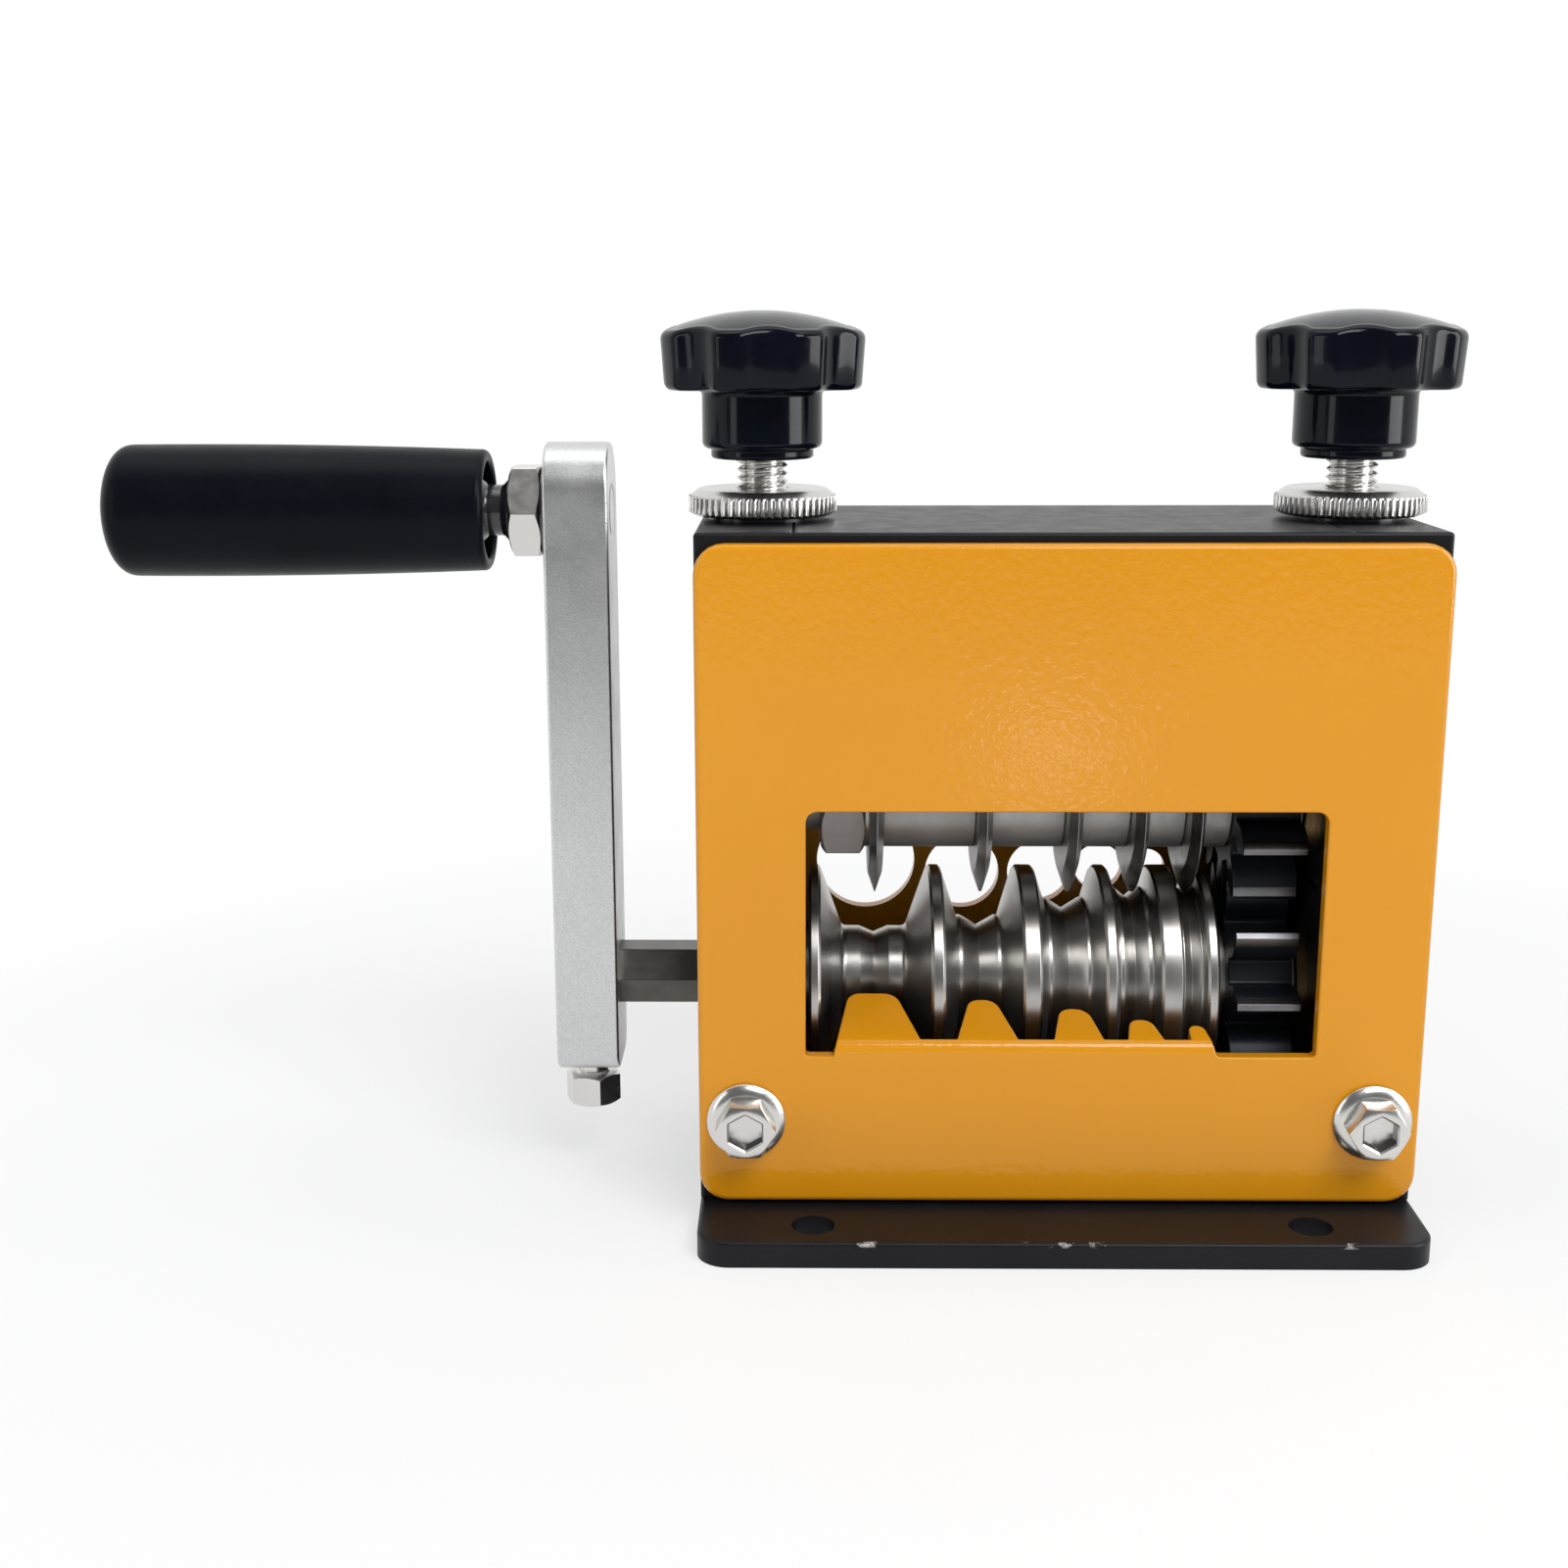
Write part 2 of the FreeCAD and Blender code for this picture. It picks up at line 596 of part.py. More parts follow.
def gear_blank(first_tooth):
    """Spur gear between gear_left and gear_right about the X axis; first_tooth is its angle from +Y."""
    pitch_r = GEAR_MODULE * GEAR_TEETH / 2
    root_r = pitch_r - 1.25 * GEAR_MODULE
    angle = math.radians(PRESSURE_ANGLE)
    half_tooth = (math.pi * GEAR_MODULE / 2 - TOOTH_RELIEF) / (2 * pitch_r) + math.tan(angle) - angle
    half_root = half_tooth - TOOTH_RELIEF / pitch_r / 2
    edges = []
    for tooth in range(GEAR_TEETH):
        middle = math.radians(first_tooth) + 2 * math.pi * tooth / GEAR_TEETH
        rising = involute_flank(middle - half_tooth, 1)
        falling = involute_flank(middle + half_tooth, -1)
        falling.reverse()
        root_in = Vector(root_r * math.cos(middle - half_root), root_r * math.sin(middle - half_root), 0)
        root_out = Vector(root_r * math.cos(middle + half_root), root_r * math.sin(middle + half_root), 0)
        gap = middle + math.pi / GEAR_TEETH
        gap_floor = Vector(root_r * math.cos(gap), root_r * math.sin(gap), 0)
        next_in = middle + 2 * math.pi / GEAR_TEETH - half_root
        next_root = Vector(root_r * math.cos(next_in), root_r * math.sin(next_in), 0)
        tip_r = pitch_r + GEAR_MODULE
        crest = Vector(tip_r * math.cos(middle), tip_r * math.sin(middle), 0)
        for flank in (rising, falling):
            curve = Part.BSplineCurve()
            curve.interpolate(flank)
            edges.append(curve.toShape())
        edges.append(Part.LineSegment(root_in, rising[0]).toShape())
        edges.append(Part.Arc(rising[-1], crest, falling[0]).toShape())
        edges.append(Part.LineSegment(falling[-1], root_out).toShape())
        edges.append(Part.Arc(root_out, gap_floor, next_root).toShape())
    outline = Part.Wire(Part.__sortEdges__(edges))
    blank = Part.Face(outline).extrude(Vector(0, 0, GEAR_FACE))
    blank.rotate(ORIGIN, ALONG_Z, 90)
    blank.rotate(ORIGIN, ALONG_Y, 90)
    blank.translate(Vector(gear_left, 0, 0))
    return blank


def gear(first_tooth, axis_z):
    """Gear with its bore and keyway, first_tooth degrees up from the front or the back."""
    blank = gear_blank(first_tooth)
    bore = rod(JOURNAL_D / 2 + FIT, Vector(gear_left, 0, 0), ALONG_X, GEAR_FACE)
    keyway_top = JOURNAL_D / 2 - KEY_SEAT + KEY_HEIGHT + KEYWAY_GAP
    keyway = box(gear_left, gear_right, -KEY_WIDTH / 2 - FIT, KEY_WIDTH / 2 + FIT, 0, keyway_top)
    cut = blank.cut([bore, keyway])
    cut.translate(Vector(0, 0, axis_z))
    return cut


def gear_key(clearance=0.0):
    """Parallel key on top of a shaft about the X axis, or its seat."""
    start = gear_left + (GEAR_FACE - KEY_LENGTH) / 2
    low = JOURNAL_D / 2 - KEY_SEAT
    return box(start - clearance, start + KEY_LENGTH + clearance, -KEY_WIDTH / 2 - clearance,
               KEY_WIDTH / 2 + clearance, low - clearance, low + KEY_HEIGHT)


def raised(shape, axis_z):
    shape.translate(Vector(0, 0, axis_z))
    return shape


def roller_profile():
    """Rims and lanes of the roller as (x, radius) pairs, left to right."""
    profile = []
    start = roller_left
    for rim, x, lane in zip(RIM_WIDTHS, lane_x, LANES):
        profile += [(start, RIM_RADIUS - RIM_CHAMFER), (start + RIM_CHAMFER, RIM_RADIUS)]
        profile += [(start + rim - RIM_CHAMFER, RIM_RADIUS), (start + rim, RIM_RADIUS - RIM_CHAMFER)]
        profile += [(x - lane.floor / 2, lane.floor_r), (x - lane.vee / 2, lane.floor_r)]
        profile += [(x, lane.floor_r - lane.vee_depth)]
        profile += [(x + lane.vee / 2, lane.floor_r), (x + lane.floor / 2, lane.floor_r)]
        start = start + rim + lane.mouth
    profile += [(start, RIM_RADIUS - RIM_CHAMFER), (start + RIM_CHAMFER, RIM_RADIUS)]
    profile += [(roller_right - RIM_CHAMFER, RIM_RADIUS), (roller_right, RIM_RADIUS - RIM_CHAMFER)]
    return profile


def feed_roller():
    """Roller, journals and hexagon end in one turned piece."""
    journal = JOURNAL_D / 2
    shoulder = SHOULDER_D / 2
    profile = [(-outer_x - SHAFT_END_RECESS, 0), (-outer_x - SHAFT_END_RECESS, journal)]
    profile += [(-thrust_x, journal), (-thrust_x, shoulder), (roller_left, shoulder)]
    profile += roller_profile()
    profile += [(roller_right, shoulder), (gear_left, shoulder), (gear_left, journal)]
    profile += [(outer_x - SHAFT_END_RECESS, journal), (outer_x - SHAFT_END_RECESS, 0)]
    roller = turned(profile).cut(gear_key(FIT))
    hex_length = -outer_x - SHAFT_END_RECESS - arm_left
    end = lay_along_x(hexagon(HEX_AF, hex_length), arm_left, 0)
    end.rotate(ORIGIN, ALONG_X, 90)
    return raised(roller.fuse(end), drive_z)


def drive_gear_washer():
    bore = JOURNAL_D / 2 + FIT
    edge = SHOULDER_D / 2
    return turned([(gear_right, bore), (gear_right, edge), (thrust_x, edge), (thrust_x, bore)], drive_z)


def blade_shaft():
    """Shaft with its thrust collar at the right and the smaller journal past the thread at the left."""
    shaft = JOURNAL_D / 2
    small = THREADED_JOURNAL_D / 2
    block_end = inner_x + BLOCK_THICK - SHAFT_END_RECESS
    profile = [(-block_end, 0), (-block_end, small), (-thrust_x, small), (-thrust_x, shaft)]
    profile += [(gear_right, shaft), (gear_right, SPACER_D / 2), (thrust_x, SPACER_D / 2)]
    profile += [(thrust_x, shaft), (block_end, shaft), (block_end, 0)]
    return raised(turned(profile).cut(gear_key(FIT)), blade_z)


def blade(x):
    bore = JOURNAL_D / 2 + FIT
    half = BLADE_THICK / 2
    bevel_r = BLADE_RADIUS - BLADE_BEVEL
    return turned([(x - half, bore), (x - half, bevel_r), (x - BLADE_EDGE / 2, BLADE_RADIUS),
                   (x + BLADE_EDGE / 2, BLADE_RADIUS), (x + half, bevel_r), (x + half, bore)], blade_z)


def spacer(left, right):
    bore = JOURNAL_D / 2 + FIT
    edge = SPACER_D / 2
    return turned([(left, bore), (left, edge), (right, edge), (right, bore)], blade_z)


def blade_jam_nut():
    right = lane_x[0] - BLADE_THICK / 2 - BLADE_WASHER
    nut = lay_along_x(chamfered_hexagon(JAM_NUT_AF, JAM_NUT_THICK), right - JAM_NUT_THICK, 0)
    nut.rotate(ORIGIN, ALONG_X, 90)
    nut = nut.cut(rod(JOURNAL_D / 2 + FIT, Vector(right - JAM_NUT_THICK, 0, 0), ALONG_X, JAM_NUT_THICK))
    return raised(nut, blade_z)


# ---------------------------------------------------------------- crank and handle

def crank_arm():
    half = ARM_WIDTH / 2
    low = drive_z - ARM_BELOW
    high = handle_z + ARM_ABOVE
    lower_corners = [(-half, low, ARM_CORNER_R), (half, low, ARM_CORNER_R)]
    upper_corners = [(half, high, half - FIT), (-half, high, half - FIT)]
    outline = rounded_outline(lower_corners + upper_corners)
    arm = outline.extrude(Vector(0, 0, ARM_THICK))
    arm.rotate(ORIGIN, ALONG_X, 90)
    arm.rotate(ORIGIN, ALONG_Z, 90)
    arm.translate(Vector(arm_left, 0, 0))
    arm = rounded_edges(arm, ARM_ROUND, lambda point: near(point.x, arm_left))
    arm = rounded_edges(arm, ARM_ROUND, lambda point: near(point.x, arm_right))
    hex_bore = lay_along_x(hexagon(HEX_AF + 2 * FIT, ARM_THICK), arm_left, 0)
    hex_bore.rotate(ORIGIN, ALONG_X, 90)
    spindle_bore = rod(SPINDLE_THREAD_D / 2 + FIT, Vector(arm_left, 0, handle_z), ALONG_X, ARM_THICK)
    set_bolt_bore = rod(M5_D / 2 + FIT, Vector((arm_left + arm_right) / 2, 0, low), ALONG_Z, ARM_BELOW)
    return arm.cut([raised(hex_bore, drive_z), spindle_bore, set_bolt_bore])


def crank_set_bolt():
    """Bolt up the arm's lower end that grips a flat of the hexagon."""
    low = drive_z - ARM_BELOW - SET_BOLT_NECK
    middle = (arm_left + arm_right) / 2
    head = chamfered_hexagon(SET_BOLT_AF, SET_BOLT_HEAD)
    head.rotate(ORIGIN, ALONG_Z, SET_BOLT_TURN)
    head.translate(Vector(middle, 0, low - SET_BOLT_HEAD))
    shank = rod(M5_D / 2, Vector(middle, 0, low), ALONG_Z, drive_z - HEX_AF / 2 - FIT - low)
    return head.fuse(shank)


def handle_spindle():
    thread = SPINDLE_THREAD_D / 2
    collar = SPINDLE_COLLAR_D / 2
    rod_r = SPINDLE_ROD_D / 2
    ring_left = rod_left + SNAP_RING_INSET
    ring_right = ring_left + SNAP_RING_THICK
    groove = SNAP_RING_GROOVE_D / 2
    profile = [(rod_left, 0), (rod_left, rod_r), (ring_left, rod_r), (ring_left, groove)]
    profile += [(ring_right, groove), (ring_right, rod_r), (collar_left, rod_r)]
    profile += [(collar_left, collar), (nut_left, collar), (nut_left, thread)]
    profile += [(arm_right, thread), (arm_right, 0)]
    return turned(profile, handle_z)


def handle_nut():
    """Nut with a corner to the front and flats above and below."""
    nut = chamfered_hexagon(HANDLE_NUT_AF, HANDLE_NUT)
    nut = nut.cut(rod(SPINDLE_THREAD_D / 2 + FIT, ORIGIN, ALONG_Z, HANDLE_NUT))
    nut.rotate(ORIGIN, ALONG_Z, 90)
    return lay_along_x(nut, nut_left, handle_z)


def handle_washer():
    bore = SPINDLE_THREAD_D / 2 + FIT
    edge = HANDLE_WASHER_D / 2
    return turned([(nut_right, bore), (nut_right, edge), (arm_left, edge), (arm_left, bore)], handle_z)


def grip_snap_ring():
    """Split ring in the spindle's groove that keeps the grip on."""
    left = rod_left + SNAP_RING_INSET + FIT
    right = left + SNAP_RING_THICK - 2 * FIT
    bore = SNAP_RING_GROOVE_D / 2 + FIT
    edge = SNAP_RING_D / 2
    ring = turned([(left, bore), (left, edge), (right, edge), (right, bore)])
    slit = box(left, right, -SNAP_RING_GAP / 2, SNAP_RING_GAP / 2, 0, edge)
    return raised(ring.cut(slit), handle_z)


def handle_grip():
    """Barrel-shaped grip with a blind bore for the spindle and an inner groove for the snap ring."""
    inner_r = GRIP_INNER_D / 2
    outer_r = GRIP_OUTER_D / 2
    shoulder_x = grip_left + GRIP_END_R
    edge_x = grip_right - GRIP_INNER_ROUND
    barrel_x = (shoulder_x + edge_x) / 2
    dome = math.cos(math.radians(45)) * GRIP_END_R
    start = Vector(grip_left, 0, 0)
    flat = Vector(grip_left, outer_r - GRIP_END_R, 0)
    dome_middle = Vector(shoulder_x - dome, outer_r - GRIP_END_R + dome, 0)
    shoulder = Vector(shoulder_x, outer_r, 0)
    barrel = Vector(barrel_x, GRIP_MIDDLE_D / 2, 0)
    edge = Vector(edge_x, inner_r, 0)
    lip = Vector(grip_right, inner_r - GRIP_INNER_ROUND, 0)
    end = Vector(grip_right, 0, 0)
    edges = [Part.LineSegment(start, flat).toShape(), Part.Arc(flat, dome_middle, shoulder).toShape()]
    edges += [Part.Arc(shoulder, barrel, edge).toShape(), Part.LineSegment(edge, lip).toShape()]
    edges += [Part.LineSegment(lip, end).toShape(), Part.LineSegment(end, start).toShape()]
    solid = Part.Face(Part.Wire(edges)).revolve(ORIGIN, ALONG_X, 360)
    bore_left = rod_left - END_PLAY
    bore_r = SPINDLE_ROD_D / 2 + RUNNING
    bore = rod(bore_r, Vector(bore_left, 0, 0), ALONG_X, grip_right - bore_left)
    mouth_start = Vector(grip_right - GRIP_COUNTERBORE, 0, 0)
    mouth = rod(GRIP_COUNTERBORE_D / 2, mouth_start, ALONG_X, GRIP_COUNTERBORE)
    groove_start = Vector(rod_left + SNAP_RING_INSET - END_PLAY, 0, 0)
    groove_width = SNAP_RING_THICK + 2 * END_PLAY
    groove = rod(SNAP_RING_D / 2 + END_PLAY, groove_start, ALONG_X, groove_width)
    return raised(solid.cut([bore, mouth, groove]), handle_z)


# ---------------------------------------------------------------- knobs, screws and lock nuts

def adjusting_screw():
    """Right screw: thread, pilot in the bearing block and the groove for the dowel."""
    thread = SCREW_D / 2
    pilot = PILOT_D / 2
    groove = PILOT_GROOVE_D / 2
    low = block_top - PILOT_LENGTH
    groove_half = RETAINING_PIN_D / 2 + RETAINING_PIN_PLAY
    groove_z = block_top - PILOT_GROOVE_DROP
    shoulder = block_top + RETAINING_PIN_PLAY / 2
    top = knob_bottom + KNOB_SCREW_GRIP
    profile = [(0, low), (pilot, low), (pilot, groove_z - groove_half), (groove, groove_z - groove_half)]
    profile += [(groove, groove_z + groove_half), (pilot, groove_z + groove_half), (pilot, shoulder)]
    profile += [(thread, shoulder), (thread, top), (0, top)]
    return upright(profile, screw_x, 0)


def knob(turned_by):
    """Star knob with a domed head, on the right screw; at 0 it has a lobe towards +X."""
    head_r = KNOB_D / 2
    hub_r = KNOB_HUB_D / 2
    lip_r = KNOB_LIP_D / 2
    head_low = KNOB_LIP + KNOB_HUB
    side_top = head_low + KNOB_SIDE
    head_top = side_top + KNOB_DOME
    corners = [(0, 0), (lip_r, 0), (lip_r, KNOB_LIP), (hub_r, KNOB_LIP), (hub_r, head_low),
               (head_r - KNOB_EDGE_R / 2, head_low), (head_r, head_low + KNOB_EDGE_R / 2),
               (head_r, side_top - KNOB_EDGE_R)]
    points = [Vector(radius, 0, height) for radius, height in corners]
    edges = [Part.LineSegment(first, second).toShape() for first, second in zip(points, points[1:])]
    shoulder = Vector(head_r - KNOB_EDGE_R, 0, side_top)
    diagonal = math.sin(math.radians(45))
    round_middle = shoulder + Vector(diagonal, 0, diagonal - 1) * KNOB_EDGE_R
    edges.append(Part.Arc(points[-1], round_middle, shoulder).toShape())
    # a shallow arc falls a quarter of its height by half its radius
    crown = Vector(0, 0, head_top)
    dome_middle = Vector(shoulder.x / 2, 0, head_top - KNOB_DOME / 4)
    edges.append(Part.Arc(shoulder, dome_middle, crown).toShape())
    edges.append(Part.LineSegment(crown, points[0]).toShape())
    body = Part.Face(Part.Wire(edges)).revolve(ORIGIN, ALONG_Z, 360)
    valley_r = head_r - KNOB_SCALLOP_DEPTH + KNOB_SCALLOP_R
    scallops = []
    for lobe in range(KNOB_LOBES):
        angle = 2 * math.pi * (lobe + 0.5) / KNOB_LOBES
        centre = Vector(valley_r * math.cos(angle), valley_r * math.sin(angle), head_low)
        scallops.append(rod(KNOB_SCALLOP_R, centre, ALONG_Z, KNOB_SIDE + KNOB_DOME))
    socket = rod(SCREW_D / 2 + FIT, ORIGIN, ALONG_Z, KNOB_SCREW_GRIP + FIT)
    body = body.cut(scallops + [socket])
    body.rotate(ORIGIN, ALONG_Z, turned_by)
    body.translate(Vector(screw_x, 0, knob_bottom))
    return body


def lock_nut():
    """Round nut, chamfered at both ends, just above its washer."""
    bore = SCREW_D / 2 + RUNNING
    edge = LOCK_NUT_D / 2
    corner = edge - LOCK_NUT_CHAMFER
    profile = [(bore, 0), (corner, 0), (edge, LOCK_NUT_CHAMFER), (edge, LOCK_NUT - LOCK_NUT_CHAMFER)]
    profile += [(corner, LOCK_NUT), (bore, LOCK_NUT)]
    return upright(profile, screw_x, washer_top)


def lock_washer():
    bore = SCREW_D / 2 + RUNNING
    edge = LOCK_WASHER_D / 2
    return upright([(bore, 0), (edge, 0), (edge, LOCK_WASHER), (bore, LOCK_WASHER)], screw_x, frame_top)


# ---------------------------------------------------------------- all sub-parts

def pair_and_rear(shape):
    """A front fastener on both sides, and the same two at the rear."""
    front = Part.makeCompound([shape, mirrored_x(shape)])
    return front, mirrored_y(front)


def all_parts():
    front_bolts, rear_bolts = pair_and_rear(flange_bolt())
    parts = {
        "base_plate": base_plate(),
        "right_side_plate": cheek(),
        "left_side_plate": mirrored_x(cheek()),
        "top_plate": top_plate(),
        "front_cover": front_cover(),
        "rear_cover": rear_cover(),
        "front_cover_bolts": front_bolts,
        "rear_cover_bolts": rear_bolts,
        "cover_locating_pins": at_four(cover_pin()),
        "base_screws": at_four(base_screw()),
        "top_plate_screws": at_four(top_plate_screw()),
        "right_drive_bush": drive_bush(),
        "left_drive_bush": mirrored_x(drive_bush()),
        "right_bearing_block": bearing_block(JOURNAL_D),
        "left_bearing_block": mirrored_x(bearing_block(THREADED_JOURNAL_D)),
        "right_blade_bush": blade_bush(JOURNAL_D),
        "left_blade_bush": mirrored_x(blade_bush(THREADED_JOURNAL_D)),
        "screw_retaining_pins": Part.makeCompound([retaining_pin(), mirrored_x(retaining_pin())]),
        "blade_shaft": blade_shaft(),
        "blade_washer": spacer(lane_x[0] - BLADE_THICK / 2 - BLADE_WASHER, lane_x[0] - BLADE_THICK / 2),
        "blade_jam_nut": blade_jam_nut(),
        "blade_gear": gear(-90.0, blade_z),
        "blade_gear_key": raised(gear_key(), blade_z),
        "feed_roller": feed_roller(),
        "drive_gear": gear(0.0, drive_z),
        "drive_gear_key": raised(gear_key(), drive_z),
        "drive_gear_washer": drive_gear_washer(),
        "crank_arm": crank_arm(),
        "crank_set_bolt": crank_set_bolt(),
        "handle_spindle": handle_spindle(),
        "handle_nut": handle_nut(),
        "handle_washer": handle_washer(),
        "grip_snap_ring": grip_snap_ring(),
        "handle_grip": handle_grip(),
    }
    spacer_ends = [x - BLADE_THICK / 2 for x in lane_x[1:]] + [gear_left]
    for number, (x, right) in enumerate(zip(lane_x, spacer_ends), start=1):
        parts["blade_%d" % number] = blade(x)
        parts["blade_spacer_%d" % number] = spacer(x + BLADE_THICK / 2, right)
    half_lobe = 180.0 / KNOB_LOBES
    for side, place, knob_turn in (("right", lambda shape: shape, 0.0), ("left", mirrored_x, half_lobe)):
        parts[side + "_knob"] = place(knob(knob_turn))
        parts[side + "_adjusting_screw"] = place(adjusting_screw())
        parts[side + "_lock_nut"] = place(lock_nut())
        parts[side + "_lock_washer"] = place(lock_washer())
    return parts


os.makedirs("parts", exist_ok=True)
for node, shape in all_parts().items():
    shape.exportStep("parts/" + node + ".step")
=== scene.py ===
import json
import math
from collections import namedtuple

import bmesh
import bpy
from mathutils import Matrix, Vector
from mathutils.geometry import tessellate_polygon


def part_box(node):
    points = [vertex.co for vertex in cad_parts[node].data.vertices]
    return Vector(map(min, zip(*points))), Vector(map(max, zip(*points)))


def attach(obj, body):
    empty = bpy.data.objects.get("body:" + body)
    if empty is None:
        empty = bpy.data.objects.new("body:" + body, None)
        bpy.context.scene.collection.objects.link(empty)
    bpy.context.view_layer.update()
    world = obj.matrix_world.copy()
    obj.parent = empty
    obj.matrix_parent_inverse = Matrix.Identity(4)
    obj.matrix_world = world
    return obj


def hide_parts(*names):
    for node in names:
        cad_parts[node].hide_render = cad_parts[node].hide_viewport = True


# Hand crank wire stripper. Metres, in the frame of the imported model: X along the shafts,
# Y from the window to the rear cover, Z up.

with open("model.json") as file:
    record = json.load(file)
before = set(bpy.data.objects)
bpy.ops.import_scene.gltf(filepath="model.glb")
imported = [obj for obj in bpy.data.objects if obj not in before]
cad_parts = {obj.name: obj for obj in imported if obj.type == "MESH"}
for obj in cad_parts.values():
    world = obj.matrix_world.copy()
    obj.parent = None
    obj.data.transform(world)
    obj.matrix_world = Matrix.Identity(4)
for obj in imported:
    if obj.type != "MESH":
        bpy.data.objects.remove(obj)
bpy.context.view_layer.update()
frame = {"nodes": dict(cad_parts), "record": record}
MM = 0.001
TAU = 2 * math.pi


# ---------------------------------------------------------------- sizes that the frame doesn't tell

# wire lanes of the roller, left to right, in millimetres:
# mouth and floor widths, floor radius, vee in the floor, tooth of the comb
Lane = namedtuple("Lane", "mouth floor floor_r vee vee_depth tooth_base tooth_tip tooth_lean tooth_reach")
LANES = (
    Lane(17.2, 10.2, 7.5, 4.6, 1.0, 13.1, 7.3, -0.6, 12.0),
    Lane(12.0, 6.8, 9.3, 5.6, 1.6, 9.3, 4.0, -0.3, 10.5),
    Lane(9.8, 6.6, 12.2, 5.6, 1.75, 7.6, 4.2, -0.2, 8.4),
    Lane(6.6, 5.0, 13.9, 3.8, 1.6, 5.5, 3.2, -0.4, 5.9),
    Lane(3.6, 3.0, 15.0, 2.6, 1.4, 3.6, 2.3, -0.7, 4.6),
)
RIM_WIDTHS = (1.9, 2.2, 3.0, 2.0, 3.5, 1.9)
RIM_CHAMFER = 0.4 * MM
LEFT_BOSS = 0.55 * MM
SHOULDER_R = 9.0 * MM
JOURNAL_R = 6.0 * MM
HEX_AF = 9.0 * MM
HEX_ROUND = 0.25 * MM
HEX_CHAMFER = math.radians(30)
HEX_START = 0.5 * MM    # outside the frame
HEX_OVERLAP = 0.2 * MM
HEX_GAP = 0.12 * MM     # between a flat and the arm's bore
JOURNAL_EDGE = 0.3 * MM
GROOVE_EDGE = 0.12 * MM
VEE_EDGE = 0.10 * MM
FLOOR_CORNER = 0.9 * MM     # largest rounding of a groove's floor

GEAR_MODULE = 3.0 * MM
GEAR_TEETH = 10
TOOTH_RELIEF = 0.6 * MM
PRESSURE_ANGLE = math.radians(20)
GEAR_ROOT_R = 0.7 * MM
GEAR_TIP_EDGE = 0.18 * MM
GEAR_EDGE = 0.22 * MM
GROUND_ZONE = 1.3 * MM      # of the bright finish, below the tips

BLADE_BEVEL = 3.0 * MM
BLADE_SHOULDER_R = 1.2 * MM
BLADE_HALF_EDGE = 0.05 * MM
SPACER_EDGE = 0.25 * MM
JAM_NUT_AF = 18.0 * MM
JAM_NUT_ROUND = 0.8 * MM
NUT_FACE_SHARE = 0.97       # of the width across flats

COVER_CORNER_R = 4.5 * MM
COVER_ROUND = 0.9 * MM
WINDOW_ROUND = 0.35 * MM
WINDOW_MARGIN = 1.85 * MM
WINDOW_BELOW = 5.5 * MM
WINDOW_ABOVE = 2.55 * MM
WINDOW_TOP_R = 1.7 * MM
WINDOW_BOTTOM_R = 0.6 * MM
COMB_RISE = 2.0 * MM
COMB_SLOPE = math.radians(22)
COMB_THICK = 2.0 * MM
COMB_NOTCH = 1.4 * MM
COMB_FOLD_R = 2.2 * MM
COMB_FOOT = 0.15 * MM

KNOB_LOBES = 8
KNOB_HEAD_R = 16.0 * MM
KNOB_TURNS = (("left", math.radians(27.5)), ("right", math.radians(11.1)))
KNOB_SCALLOP_R = 7.0 * MM
KNOB_SCALLOP_DEPTH = 1.6 * MM
KNOB_LIP_R = 7.9 * MM
KNOB_LIP = 1.5 * MM
KNOB_HUB_R = 9.25 * MM
KNOB_HUB = 8.9 * MM
KNOB_DOME = 3.4 * MM
KNOB_EDGE_R = 1.5 * MM
KNOB_UNDER_R = 1.1 * MM
KNOB_UNDER_INSET = 0.45 * MM
KNOB_BLEND = 0.9 * MM       # between a lobe and its scallops

THREAD_PITCH = 1.25 * MM
THREAD_DEPTH = 0.68 * MM
THREAD_BELOW = 6.0 * MM     # of the frame's top
LOCK_NUT_BORE_R = 4.0 * MM
KNURL_RIDGES = 60
KNURL_DEPTH = 0.42 * MM

FLANGE_BOLT_AF = 8.0 * MM
FLANGE_BOLT_SOCKET_AF = 5.0 * MM
FLANGE_BOLT_SOCKET_DEPTH = 2.6 * MM
FLANGE_THICK = 1.4 * MM
FLANGE_R = 6.0 * MM

ARM_CORNER_R = 3.5 * MM
ARM_EDGE = 0.5 * MM
ARM_BORE_R = 0.3 * MM       # in the corners of the shaft's bore
SET_BOLT_AF = 8.0 * MM
SET_BOLT_HEAD = 5.4 * MM
SET_BOLT_SHANK_R = 2.5 * MM
SET_BOLT_TURN = math.radians(-11)
HANDLE_NUT_AF = 13.5 * MM
HANDLE_NUT_ROUND = 0.35 * MM
SPINDLE_THREAD_R = 4.0 * MM
SPINDLE_ROD_R = 5.0 * MM
SPINDLE_COLLAR_R = 5.0 * MM
GRIP_SHORTER = 1.0 * MM     # than its CAD node, at the outer end
GRIP_OUTER_R = 10.15 * MM
GRIP_INNER_R = 9.35 * MM
GRIP_EDGE = 1.2 * MM        # length of the inner end's straight rim
GRIP_BORE_SPARE = 0.25 * MM     # beyond the spindle's end
GRIP_BULGE = 0.30 * MM
GRIP_END = 4.6 * MM
GRIP_COUNTERBORE = 4.0 * MM
GRIP_COUNTERBORE_R = 7.5 * MM


# ---------------------------------------------------------------- places that the frame tells

def low(node):
    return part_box(node)[0]


def high(node):
    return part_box(node)[1]


def middle(node):
    return (low(node) + high(node)) / 2


